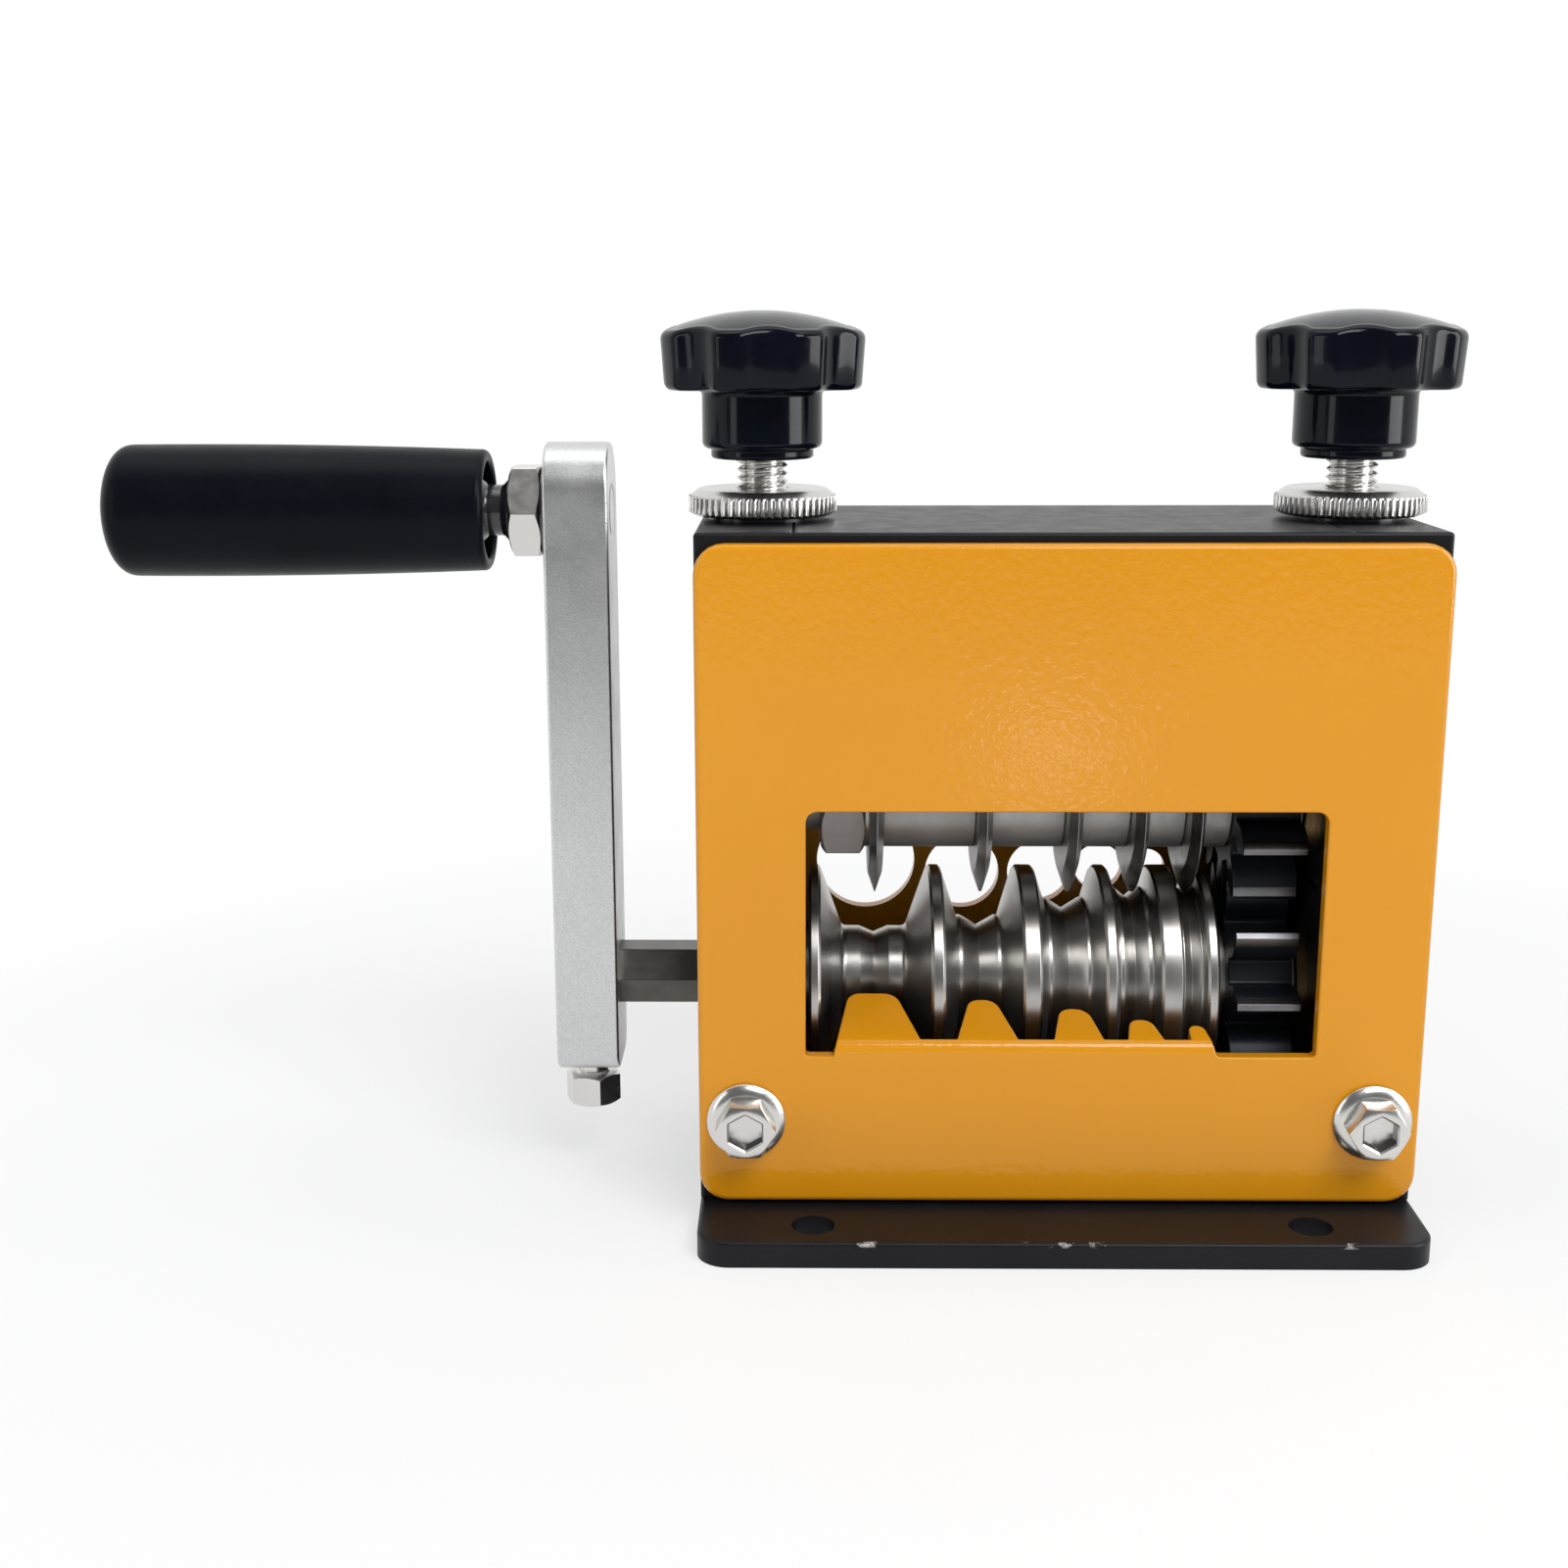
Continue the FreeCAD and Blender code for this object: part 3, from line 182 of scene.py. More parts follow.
cover_front = low("front_cover").y
cover_back = low("left_side_plate").y
window_left = high("left_side_plate").x + WINDOW_MARGIN
window_right = low("right_side_plate").x - WINDOW_MARGIN
drive_z = middle("drive_gear").z
blade_z = middle("blade_1").z
handle_z = middle("handle_grip").z
lane_x = [middle("blade_%d" % number).x for number in range(1, len(LANES) + 1)]
roller_left = lane_x[0] - (LANES[0].mouth / 2 + RIM_WIDTHS[0]) * MM
roller_right = lane_x[-1] + (LANES[-1].mouth / 2 + RIM_WIDTHS[-1]) * MM


# ---------------------------------------------------------------- mesh helpers

SUPPORT = 0.03 * MM     # strip beside a rounded edge that keeps the flat next to it flat
SHARP = math.radians(32)


def soften(corners, closed=False, steps=4, support=True):
    """Plain (a, b) points of a line of (a, b, radius) corners, with an arc where there is a radius."""
    points = []
    last = len(corners) - 1
    for index, (a, b, radius) in enumerate(corners):
        here = Vector((a, b))
        if radius <= 0 or (not closed and index in (0, last)):
            points.append(here)
            continue
        back = (Vector(corners[index - 1][:2]) - here).normalized()
        forth = (Vector(corners[(index + 1) % len(corners)][:2]) - here).normalized()
        half = back.angle(forth) / 2
        reach = radius / math.tan(half)
        centre = here + (back + forth).normalized() * (radius / math.sin(half))
        if support:
            points.append(here + back * (reach + SUPPORT))
        points += arc(centre, radius, here + back * reach - centre, here + forth * reach - centre, steps)
        if support:
            points.append(here + forth * (reach + SUPPORT))
    return [(point.x, point.y) for point in points]


def arc(centre, radius, start, end, steps):
    """Points of the shorter arc round centre, from the direction start to the direction end."""
    first = math.atan2(start.y, start.x)
    sweep = (math.atan2(end.y, end.x) - first + math.pi) % TAU - math.pi
    angles = [first + sweep * step / steps for step in range(steps + 1)]
    return [centre + Vector((math.cos(angle), math.sin(angle))) * radius for angle in angles]


def even_angles(count):
    return [TAU * index / count for index in range(count)]


def radial(rows, angles):
    """Vertices and faces of rings about Z. A row is (radius, height), or a list of them, one per angle.

    A row of radius 0 is a pole. Rows with no poles close into a ring."""
    vertices = []
    rings = []
    for row in rows:
        if isinstance(row, tuple):
            row = [row] * len(angles)
        if row[0][0] == 0:
            rings.append([len(vertices)])
            vertices.append(Vector((0, 0, row[0][1])))
            continue
        rings.append(range(len(vertices), len(vertices) + len(angles)))
        vertices += [Vector((radius * math.cos(angle), radius * math.sin(angle), height))
                     for angle, (radius, height) in zip(angles, row)]
    pairs = list(zip(rings, rings[1:]))
    if len(rings[0]) > 1 and len(rings[-1]) > 1:
        pairs.append((rings[-1], rings[0]))
    faces = []
    for lower, upper in pairs:
        for index in range(len(angles)):
            after = (index + 1) % len(angles)
            corners = [lower[index % len(lower)], lower[after % len(lower)],
                       upper[after % len(upper)], upper[index % len(upper)]]
            face = list(dict.fromkeys(corners))
            if len(face) > 2:
                faces.append(face)
    return vertices, faces


def lathe(profile, segments=96):
    """Turned solid about Z; the profile is (radius, height, rounding) corners."""
    return radial(soften(profile), even_angles(segments))


def upright(x, y=0.0, z=0.0):
    return Matrix.Translation((x, y, z))


def along_x(x, z):
    """Local Z to +X, and local X to the front."""
    turn = Matrix(((0, 0, 1), (-1, 0, 0), (0, -1, 0))).to_4x4()
    return Matrix.Translation((x, 0, z)) @ turn


def towards_front(x, y, z):
    """Local Z to the front, and local Y up."""
    turn = Matrix(((1, 0, 0), (0, 0, -1), (0, 1, 0))).to_4x4()
    return Matrix.Translation((x, y, z)) @ turn


def hexagon_corner(across_flats, rounding):
    """Distance of a rounded corner's centre, and the angle beside it where its arc meets a flat."""
    centre = (across_flats / 2 - rounding) / math.cos(TAU / 12)
    return centre, TAU / 12 - math.atan(centre * math.sin(TAU / 12) / (across_flats / 2))


def hexagon_radius(angle, across_flats, rounding):
    """Distance from the centre to a hexagon with rounded corners; a corner lies at angle 0."""
    from_corner = abs((angle + TAU / 12) % (TAU / 6) - TAU / 12)
    centre, touch = hexagon_corner(across_flats, rounding)
    if from_corner < touch:
        half_chord = math.sqrt(rounding ** 2 - (centre * math.sin(from_corner)) ** 2)
        return centre * math.cos(from_corner) + half_chord
    return across_flats / 2 / math.cos(TAU / 12 - from_corner)


def hexagon_angles(across_flats, rounding):
    _, touch = hexagon_corner(across_flats, rounding)
    near_corner = [touch * step / 3 for step in range(-3, 4)]
    beside = [-touch - TAU / 720, touch + TAU / 720]
    on_flat = [TAU / 12 + TAU / 12 * step / 5 for step in range(-3, 4)]
    offsets = sorted(near_corner + beside + on_flat)
    offsets = [offset for offset in offsets if offset < TAU / 6 - touch - TAU / 500]
    return [TAU / 6 * side + offset for side in range(6) for offset in offsets]


def chamfered_rows(across_flats, rounding, start, end, face_r, at_start=True, at_end=True):
    """Rows of a hexagon's sides from start to end, turned down to face_r at its chamfered ends."""
    slope = math.tan(HEX_CHAMFER)
    angles = hexagon_angles(across_flats, rounding)
    radii = [hexagon_radius(angle, across_flats, rounding) for angle in angles]

    def row(height, inward):
        return [(radius, height + inward * max(0.0, radius - face_r) * slope) for radius in radii]

    rows = []
    rows += [(face_r, start), row(start, 1)] if at_start else [row(start, 0)]
    rows += [row(end, -1), (face_r, end)] if at_end else [row(end, 0)]
    return rows, angles


def offset_corners(corners, inset):
    """Outline moved to its left by inset, with its corner radii kept concentric."""
    moved = []
    for index, (a, b, radius) in enumerate(corners):
        here = Vector((a, b))
        before = (here - Vector(corners[index - 1][:2])).normalized()
        after = (Vector(corners[(index + 1) % len(corners)][:2]) - here).normalized()
        left_before = Vector((-before.y, before.x))
        left_after = Vector((-after.y, after.x))
        place = here + (left_before + left_after) * inset / (1 + left_before.dot(left_after))
        turns_left = before.x * after.y - before.y * after.x > 0
        grown = radius - inset if turns_left else radius + inset
        moved.append((place.x, place.y, max(grown, SUPPORT) if radius > 0 else 0))
    return moved


def edge_levels(rounding, steps):
    """(inset, depth) pairs over a plate's rounded edge, from its face to its side."""
    angles = [math.pi / 2 * step / steps for step in range(steps + 1)]
    arc_levels = [(rounding * (1 - math.sin(angle)), rounding * (1 - math.cos(angle))) for angle in angles]
    return [(rounding + SUPPORT, 0.0)] + arc_levels + [(0.0, rounding + SUPPORT)]


def sheet_solid(outlines, thickness, steps=4):
    """Plate with rounded edges: (a, b, depth) vertices and faces.

    An outline is (corners, rounding in front, rounding behind), with the material on its left:
    the outside runs anticlockwise and the holes clockwise."""
    vertices = []
    faces = []
    fronts = []
    backs = []
    for corners, front_round, back_round in outlines:
        behind = [(inset, thickness - depth) for inset, depth in edge_levels(back_round, steps)]
        rings = []
        for inset, depth in edge_levels(front_round, steps) + behind[::-1]:
            points = soften(offset_corners(corners, inset), closed=True, steps=6, support=False)
            rings.append(range(len(vertices), len(vertices) + len(points)))
            vertices += [Vector((a, b, depth)) for a, b in points]
        for first, second in zip(rings, rings[1:]):
            for index in range(len(first)):
                after = (index + 1) % len(first)
                faces.append([first[index], second[index], second[after], first[after]])
        fronts.append(rings[0])
        backs.append(rings[-1])
    for loops in (fronts, backs):
        numbers = [index for loop in loops for index in loop]
        flat = [[Vector((vertices[index].x, vertices[index].y, 0)) for index in loop] for loop in loops]
        faces += [[numbers[corner] for corner in triangle] for triangle in tessellate_polygon(flat)]
    return vertices, faces


def rectangle(a0, a1, b0, b1, radius):
    return [(a0, b0, radius), (a1, b0, radius), (a1, b1, radius), (a0, b1, radius)]


def clockwise(corners):
    return list(reversed(corners))


def round_hole(a, b, radius):
    return clockwise(rectangle(a - radius, a + radius, b - radius, b + radius, radius * 0.999))


def joined(*solids):
    vertices = []
    faces = []
    for more_vertices, more_faces in solids:
        faces += [[index + len(vertices) for index in face] for face in more_faces]
        vertices += more_vertices
    return vertices, faces


def placed(solid, matrix):
    vertices, faces = solid
    return [matrix @ vertex for vertex in vertices], faces


def linked(name, data):
    """New object in the scene."""
    thing = bpy.data.objects.new(name, data)
    bpy.context.scene.collection.objects.link(thing)
    return thing


def piece(name, solid, material, body, replaces, sharp=SHARP):
    """Scene object from vertices and faces, riding on its body in place of a CAD node."""
    vertices, faces = solid
    mesh = bpy.data.meshes.new(name)
    mesh.from_pydata(vertices, [], faces)
    shape = bmesh.new()
    shape.from_mesh(mesh)
    bmesh.ops.recalc_face_normals(shape, faces=shape.faces)
    shape.to_mesh(mesh)
    shape.free()
    mesh.shade_smooth()
    mesh.set_sharp_from_angle(angle=sharp)
    mesh.materials.append(material)
    thing = linked(name, mesh)
    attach(thing, body)
    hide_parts(*replaces)
    return thing


# ---------------------------------------------------------------- materials

def feed(tree, socket, value):
    """Link another node's socket to an input, or set a plain value there."""
    if isinstance(value, bpy.types.NodeSocket):
        tree.links.new(value, socket)
    else:
        socket.default_value = value


def node(tree, kind, **inputs):
    made = tree.nodes.new(kind)
    for key, value in inputs.items():
        feed(tree, made.inputs[key.replace("_", " ")], value)
    return made


def calculated(tree, kind, operation, result, *values):
    """Result of a Math or VectorMath node, with its inputs in order."""
    made = tree.nodes.new("ShaderNode" + kind)
    made.operation = operation
    for socket, value in zip(made.inputs, values):
        feed(tree, socket, value)
    return made.outputs[result]


def coordinates(tree, stretch):
    place = node(tree, "ShaderNodeTexCoord").outputs["Object"]
    return node(tree, "ShaderNodeMapping", Vector=place, Scale=stretch).outputs["Vector"]


def noise(tree, place, scale, detail=4.0, roughness=0.55):
    made = node(tree, "ShaderNodeTexNoise", Vector=place, Scale=scale, Detail=detail, Roughness=roughness)
    return made.outputs["Fac"]


def ranged(tree, value, low_in, high_in, low_out, high_out):
    made = node(tree, "ShaderNodeMapRange", Value=value, From_Min=low_in, From_Max=high_in,
                To_Min=low_out, To_Max=high_out)
    return made.outputs["Result"]


def mixed(tree, share, first, second):
    made = tree.nodes.new("ShaderNodeMix")
    made.data_type = "RGBA"
    tree.links.new(share, made.inputs["Factor"])
    for key, colour in (("A", first), ("B", second)):
        feed(tree, made.inputs[key], colour if isinstance(colour, bpy.types.NodeSocket) else (*colour, 1.0))
    return made.outputs["Result"]


# spans of a noise's value, from where a change of finish starts to where it is complete
PATCH_SPAN = (0.3, 0.7)
SPECKLE_SPAN = (0.38, 0.62)
WEAR_SPAN = (0.74, 0.80)
CHIP_SPAN = (0.60, 0.64)
CHIP_SCALE = 95.0
CHIP_REACH = (0.35 * MM, 0.75 * MM)     # from the edge: all chips, no chips


def surface(name, colours, rough, patches=60.0, grain=900.0, grain_depth=0.01 * MM, stretch=(1, 1, 1),
            metallic=0.0, coat=0.0, coat_roughness=0.05, specular=0.5, wear=None, peel=None, speckle=None,
            chips=None):
    """Finish with two shades in patches, uneven roughness and a fine grain.

    wear and speckle are (colour, amount), and peel is the (scale, depth) of the coat's orange peel.
    chips is (colour, edge): bare spots along the edge parallel to X through edge."""
    material = bpy.data.materials.new(name)
    material.use_nodes = True
    tree = material.node_tree
    shader = tree.nodes["Principled BSDF"]
    shader.inputs["Metallic"].default_value = metallic
    shader.inputs["Coat Weight"].default_value = coat
    shader.inputs["Coat Roughness"].default_value = coat_roughness
    shader.inputs["Specular IOR Level"].default_value = specular
    plain = coordinates(tree, (1, 1, 1))
    drawn = coordinates(tree, stretch)
    patch = ranged(tree, noise(tree, plain, patches), *PATCH_SPAN, 0.0, 1.0)
    colour = mixed(tree, patch, *colours)
    fine = noise(tree, drawn, grain, detail=3.0)
    if wear:
        worn_colour, amount = wear
        spots = noise(tree, plain, patches * 9, detail=6.0, roughness=0.7)
        worn = ranged(tree, spots, WEAR_SPAN[0] - amount, WEAR_SPAN[1] - amount, 0.0, 1.0)
        colour = mixed(tree, worn, colour, worn_colour)
    if speckle:
        speck_colour, amount = speckle
        colour = mixed(tree, ranged(tree, fine, *SPECKLE_SPAN, 0.0, amount), colour, speck_colour)
    if chips:
        chip_colour, edge = chips
        from_edge = calculated(tree, "VectorMath", "SUBTRACT", "Vector", plain, edge)
        across = calculated(tree, "VectorMath", "MULTIPLY", "Vector", from_edge, (0, 1, 1))
        distance = calculated(tree, "VectorMath", "LENGTH", "Value", across)
        near = ranged(tree, distance, *CHIP_REACH, 1.0, 0.0)
        spots = noise(tree, plain, CHIP_SCALE, detail=5.0, roughness=0.65)
        spots = ranged(tree, spots, *CHIP_SPAN, 0.0, 1.0)
        chipped = calculated(tree, "Math", "MULTIPLY", "Value", near, spots)
        colour = mixed(tree, chipped, colour, chip_colour)
    tree.links.new(colour, shader.inputs["Base Color"])
    uneven = noise(tree, drawn, patches * 4, detail=5.0)
    tree.links.new(ranged(tree, uneven, *PATCH_SPAN, *rough), shader.inputs["Roughness"])
    bump = node(tree, "ShaderNodeBump", Height=fine, Strength=0.6, Distance=grain_depth)
    tree.links.new(bump.outputs["Normal"], shader.inputs["Normal"])
    if peel:
        scale, depth = peel
        waves = node(tree, "ShaderNodeBump", Height=noise(tree, plain, scale, detail=2.0), Strength=1.0,
                     Distance=depth)
        tree.links.new(waves.outputs["Normal"], shader.inputs["Coat Normal"])
    return material


TURNED = (1.0, 0.02, 0.02)      # grain stretched round a shaft along X
FLAT_GROUND = (0.03, 1.0, 1.0)
BLACK_PAINT = {"colours": ((0.006, 0.0065, 0.009), (0.010, 0.010, 0.012)), "rough": (0.34, 0.42),
               "grain": 2600.0, "grain_depth": 0.012 * MM, "specular": 0.18}

MATERIALS = {
    "frame_black": surface("frame_black", wear=((0.06, 0.055, 0.05), -0.04), **BLACK_PAINT),
    "cover_orange": surface("cover_orange", ((0.700, 0.280, 0.004), (0.730, 0.300, 0.006)), (0.30, 0.36),
                            patches=14.0, grain=500.0, grain_depth=0.006 * MM, coat=0.6, coat_roughness=0.06,
                            specular=0.12, peel=(900.0, 0.06 * MM)),
    "bright_fastener": surface("bright_fastener", ((0.66, 0.65, 0.62), (0.71, 0.70, 0.68)), (0.20, 0.28),
                               patches=120.0, grain=3000.0, grain_depth=0.004 * MM, metallic=1.0),
    "black_fastener": surface("black_fastener", ((0.012, 0.012, 0.014), (0.022, 0.022, 0.024)), (0.14, 0.24),
                              patches=150.0, coat=0.5),
    "bush_bronze": surface("bush_bronze", ((0.42, 0.28, 0.13), (0.50, 0.34, 0.17)), (0.26, 0.40),
                           stretch=TURNED, metallic=1.0),
    "block_steel": surface("block_steel", ((0.16, 0.16, 0.16), (0.24, 0.24, 0.24)), (0.32, 0.46),
                           metallic=1.0),
    "plain_steel": surface("plain_steel", ((0.38, 0.38, 0.37), (0.46, 0.46, 0.45)), (0.26, 0.38),
                           metallic=1.0),
    "gear_steel": surface("gear_steel", ((0.012, 0.014, 0.020), (0.022, 0.024, 0.032)), (0.34, 0.44),
                          patches=160.0, grain=2200.0, stretch=FLAT_GROUND, metallic=0.5, specular=0.3),
    "roller_steel": surface("roller_steel", ((0.44, 0.43, 0.415), (0.54, 0.53, 0.51)), (0.26, 0.36),
                            patches=110.0, grain=5200.0, grain_depth=0.010 * MM, stretch=TURNED,
                            metallic=1.0),
    "blade_steel": surface("blade_steel", ((0.24, 0.24, 0.24), (0.34, 0.335, 0.33)), (0.28, 0.40),
                           patches=130.0, grain=2500.0, metallic=1.0),
    "shaft_steel": surface("shaft_steel", ((0.34, 0.34, 0.335), (0.42, 0.42, 0.415)), (0.42, 0.52),
                           patches=150.0, grain=4200.0, stretch=TURNED, metallic=0.8),
    "arm_aluminium": surface("arm_aluminium", ((0.67, 0.675, 0.68), (0.72, 0.725, 0.73)), (0.32, 0.40),
                             patches=45.0, grain=3300.0, grain_depth=0.03 * MM, metallic=1.0,
                             speckle=((0.44, 0.44, 0.44), 0.4)),
    "knurled_zinc": surface("knurled_zinc", ((0.60, 0.595, 0.57), (0.66, 0.655, 0.63)), (0.24, 0.28),
                            patches=60.0, grain=3000.0, grain_depth=0.001 * MM, metallic=1.0),
    "grip_plastic": surface("grip_plastic", ((0.0025, 0.003, 0.006), (0.004, 0.005, 0.009)), (0.32, 0.40),
                            patches=70.0, grain=2600.0, grain_depth=0.02 * MM, specular=0.08),
    "knob_plastic": surface("knob_plastic", ((0.001, 0.002, 0.005), (0.003, 0.004, 0.010)), (0.12, 0.20),
                            patches=90.0, grain=700.0, grain_depth=0.003 * MM, specular=0.10, coat=0.15,
                            coat_roughness=0.05),
}

# finishes of single surfaces, and the painted shade of the bolts' socket walls, beside the record's slots
GROUND_TIPS = surface("ground_tips", ((0.13, 0.13, 0.14), (0.19, 0.19, 0.20)), (0.26, 0.34), patches=200.0,
                      grain=3000.0, stretch=FLAT_GROUND, metallic=1.0)
DARK_HEXAGON = surface("dark_hexagon", ((0.085, 0.082, 0.072), (0.13, 0.125, 0.11)), (0.26, 0.36),
                       patches=140.0, grain=3600.0, stretch=FLAT_GROUND, metallic=0.9)
MATT_NUT = surface("matt_nut", ((0.50, 0.50, 0.50), (0.58, 0.58, 0.58)), (0.46, 0.54), patches=150.0,
                   grain=4200.0, metallic=0.35)
# darker steel for the walls of the bolts' hexagon sockets: painted shade in the recess
SOCKET_WALL_SHADE = surface("socket_wall_shade", ((0.20, 0.20, 0.20), (0.30, 0.30, 0.295)), (0.24, 0.40),
                       patches=400.0, grain=3000.0, metallic=1.0)
BASE_EDGE = (0, low("base_plate").y, high("base_plate").z)
BASE_BLACK = surface("base_black", chips=((0.50, 0.49, 0.47), BASE_EDGE), **BLACK_PAINT)


# ---------------------------------------------------------------- front cover with its comb

def comb_corners(fold_start, arc_length, tangent):
    """Teeth of the comb in the unfolded sheet, left to right, and its two feet on the window's edge."""
    def unfolded(along_slope):
        return fold_start + arc_length + along_slope - tangent

    foot_z = drive_z - WINDOW_BELOW
    left = lane_x[0] - LANES[0].tooth_base / 2 * MM - COMB_FOOT
    right = lane_x[-1] + LANES[-1].tooth_base / 2 * MM + COMB_FOOT
    notch = unfolded(COMB_NOTCH)
    corners = [(left, foot_z, 0.1 * MM)]
    for x, lane in zip(lane_x, LANES):
        tip = x + lane.tooth_lean * MM
        half_base = lane.tooth_base / 2 * MM
        half_tip = lane.tooth_tip / 2 * MM
        reach = unfolded(lane.tooth_reach * MM)
        if lane is not LANES[0]:
            corners.append((x - half_base, notch, 0.3 * MM))
        corners.append((tip - half_tip, reach, min(2.2 * MM, half_tip * 0.95)))
        corners.append((tip + half_tip, reach, min(2.8 * MM, half_tip * 1.25)))
        if lane is not LANES[-1]:
            corners.append((x + half_base, notch, 0.3 * MM))
    corners.append((right, foot_z, 0.9 * MM))
    return corners


def front_cover():
    """Plate with rounded edges; the comb is folded out of the window's lower edge."""
    turn = math.pi / 2 - COMB_SLOPE
    arc_length = COMB_FOLD_R * turn
    tangent = COMB_FOLD_R * math.tan(turn / 2)
    fold_start = drive_z - WINDOW_BELOW + COMB_RISE - tangent
    window_bottom = drive_z - WINDOW_BELOW
    window_top = blade_z + WINDOW_ABOVE
    bottom_left = low("front_cover")
    top_right = high("front_cover")
    outside = rectangle(bottom_left.x, top_right.x, bottom_left.z, top_right.z, COVER_CORNER_R)
    comb = comb_corners(fold_start, arc_length, tangent)
    window = [(window_left, window_bottom, WINDOW_BOTTOM_R)] + comb
    window += [(window_right, window_bottom, WINDOW_BOTTOM_R), (window_right, window_top, WINDOW_TOP_R),
               (window_left, window_top, WINDOW_TOP_R)]
    thickness = cover_back - cover_front
    outlines = [(outside, COVER_ROUND, WINDOW_ROUND), (clockwise(window), WINDOW_ROUND, WINDOW_ROUND)]
    flat_vertices, flat_faces = sheet_solid(outlines, thickness)
    shape = bmesh.new()
    corners = [shape.verts.new((a, cover_front + depth, b)) for a, b, depth in flat_vertices]
    for face in flat_faces:
        shape.faces.new([corners[index] for index in face])
    steps = 8
    for step in range(steps + 1):
        height = fold_start + arc_length * step / steps
        geometry = shape.verts[:] + shape.edges[:] + shape.faces[:]
        bmesh.ops.bisect_plane(shape, geom=geometry, plane_co=(0, 0, height), plane_no=(0, 0, 1), dist=1e-7)
    comb_left = min(corner[0] for corner in comb) - 0.1 * MM
    comb_right = max(corner[0] for corner in comb) + 0.1 * MM
    centre_y = cover_front + COMB_FOLD_R
    for vertex in shape.verts:
        x, y, z = vertex.co
        if not (comb_left < x < comb_right and fold_start < z < window_top - 1.0 * MM):
            continue
        along = z - fold_start
        angle = min(along / COMB_FOLD_R, turn)
        thin = 1 - (1 - COMB_THICK / thickness) * angle / turn
        radius = COMB_FOLD_R - (y - cover_front) * thin
        beyond = max(0.0, along - arc_length)
        vertex.co = (x, centre_y - radius * math.cos(angle) + beyond * math.sin(turn),
                     fold_start + radius * math.sin(angle) + beyond * math.cos(turn))
    shape.verts.index_update()
    vertices = [vertex.co.copy() for vertex in shape.verts]
    faces = [[vertex.index for vertex in face.verts] for face in shape.faces]
    shape.free()
    return vertices, faces


# ---------------------------------------------------------------- roller, blades, gears

def feed_roller():
    """Grooved roller with its journals, and the hexagon end that carries the arm."""
    left_end = low("feed_roller").x
    journal_left = low("left_side_plate").x - HEX_START
    journal_right = high("feed_roller").x
    gear_left = low("drive_gear").x
    rim_r = (high("feed_roller").z - low("feed_roller").z) / 2
    hidden_left = roller_left - LEFT_BOSS
    profile = [(0, journal_left, 0), (JOURNAL_R, journal_left, JOURNAL_EDGE), (JOURNAL_R, hidden_left, 0)]
    profile += [(SHOULDER_R, hidden_left, 0), (SHOULDER_R, roller_left, 0)]
    start = roller_left
    for rim, x, lane in zip(RIM_WIDTHS, lane_x, LANES):
        profile += rim_corners(start, rim * MM, rim_r)
        half_floor = lane.floor / 2 * MM
        half_vee = lane.vee / 2 * MM
        floor_r = lane.floor_r * MM
        corner = min(FLOOR_CORNER, (lane.mouth - lane.floor) * 0.14 * MM + 0.1 * MM)
        if half_floor - half_vee <= FLOOR_CORNER:
            corner = GROOVE_EDGE
        profile += [(floor_r, x - half_floor, corner), (floor_r, x - half_vee, VEE_EDGE)]
        profile += [(floor_r - lane.vee_depth * MM, x, GROOVE_EDGE)]
        profile += [(floor_r, x + half_vee, VEE_EDGE), (floor_r, x + half_floor, corner)]
        start += (rim + lane.mouth) * MM
    profile += rim_corners(start, RIM_WIDTHS[-1] * MM, rim_r)
    profile += [(SHOULDER_R, roller_right, 0), (SHOULDER_R, gear_left, 0), (JOURNAL_R, gear_left, 0)]
    profile += [(JOURNAL_R, journal_right, JOURNAL_EDGE), (0, journal_right, 0)]
    roller = radial(soften(profile, steps=3), even_angles(160))
    hexagon_right = journal_left + HEX_OVERLAP
    rows, angles = chamfered_rows(HEX_AF, HEX_ROUND, left_end, hexagon_right, HEX_AF / 2)
    end = radial([(0, left_end)] + rows + [(0, hexagon_right)], angles)
    return placed(joined(roller, end), along_x(0, drive_z))


def rim_corners(start, width, rim_r):
    foot = rim_r - RIM_CHAMFER
    return [(foot, start, GROOVE_EDGE), (rim_r, start + RIM_CHAMFER, GROOVE_EDGE),
            (rim_r, start + width - RIM_CHAMFER, GROOVE_EDGE), (foot, start + width, GROOVE_EDGE)]


def blade(number):
    """Disc with a long bevel on both sides down to its edge."""
    left, right = low("blade_%d" % number), high("blade_%d" % number)
    radius = (right.z - left.z) / 2
    x = (left.x + right.x) / 2
    bevel_r = radius - BLADE_BEVEL
    profile = [(JOURNAL_R, left.x, 0), (bevel_r, left.x, BLADE_SHOULDER_R), (radius, x - BLADE_HALF_EDGE, 0)]
    profile += [(radius, x + BLADE_HALF_EDGE, 0), (bevel_r, right.x, BLADE_SHOULDER_R)]
    return placed(lathe(profile + [(JOURNAL_R, right.x, 0)], 160), along_x(0, blade_z))


def spacer(number):
    node_name = "blade_spacer_%d" % number
    left, right = low(node_name), high(node_name)
    radius = (right.z - left.z) / 2
    profile = [(JOURNAL_R, left.x, 0), (radius, left.x, SPACER_EDGE), (radius, right.x, SPACER_EDGE)]
    return placed(lathe(profile + [(JOURNAL_R, right.x, 0)]), along_x(0, blade_z))


def hexagon_nut(node_name, across_flats, rounding, bore, chamfer, axis_z):
    """Nut on a shaft along X, chamfered outside and in its bore."""
    left, right = low(node_name).x, high(node_name).x
    rows, angles = chamfered_rows(across_flats, rounding, left, right, across_flats / 2 * NUT_FACE_SHARE)
    rows = [(bore, left + chamfer), (bore + chamfer, left)] + rows
    rows += [(bore + chamfer, right), (bore, right - chamfer)]
    return placed(radial(rows, angles), along_x(0, axis_z))


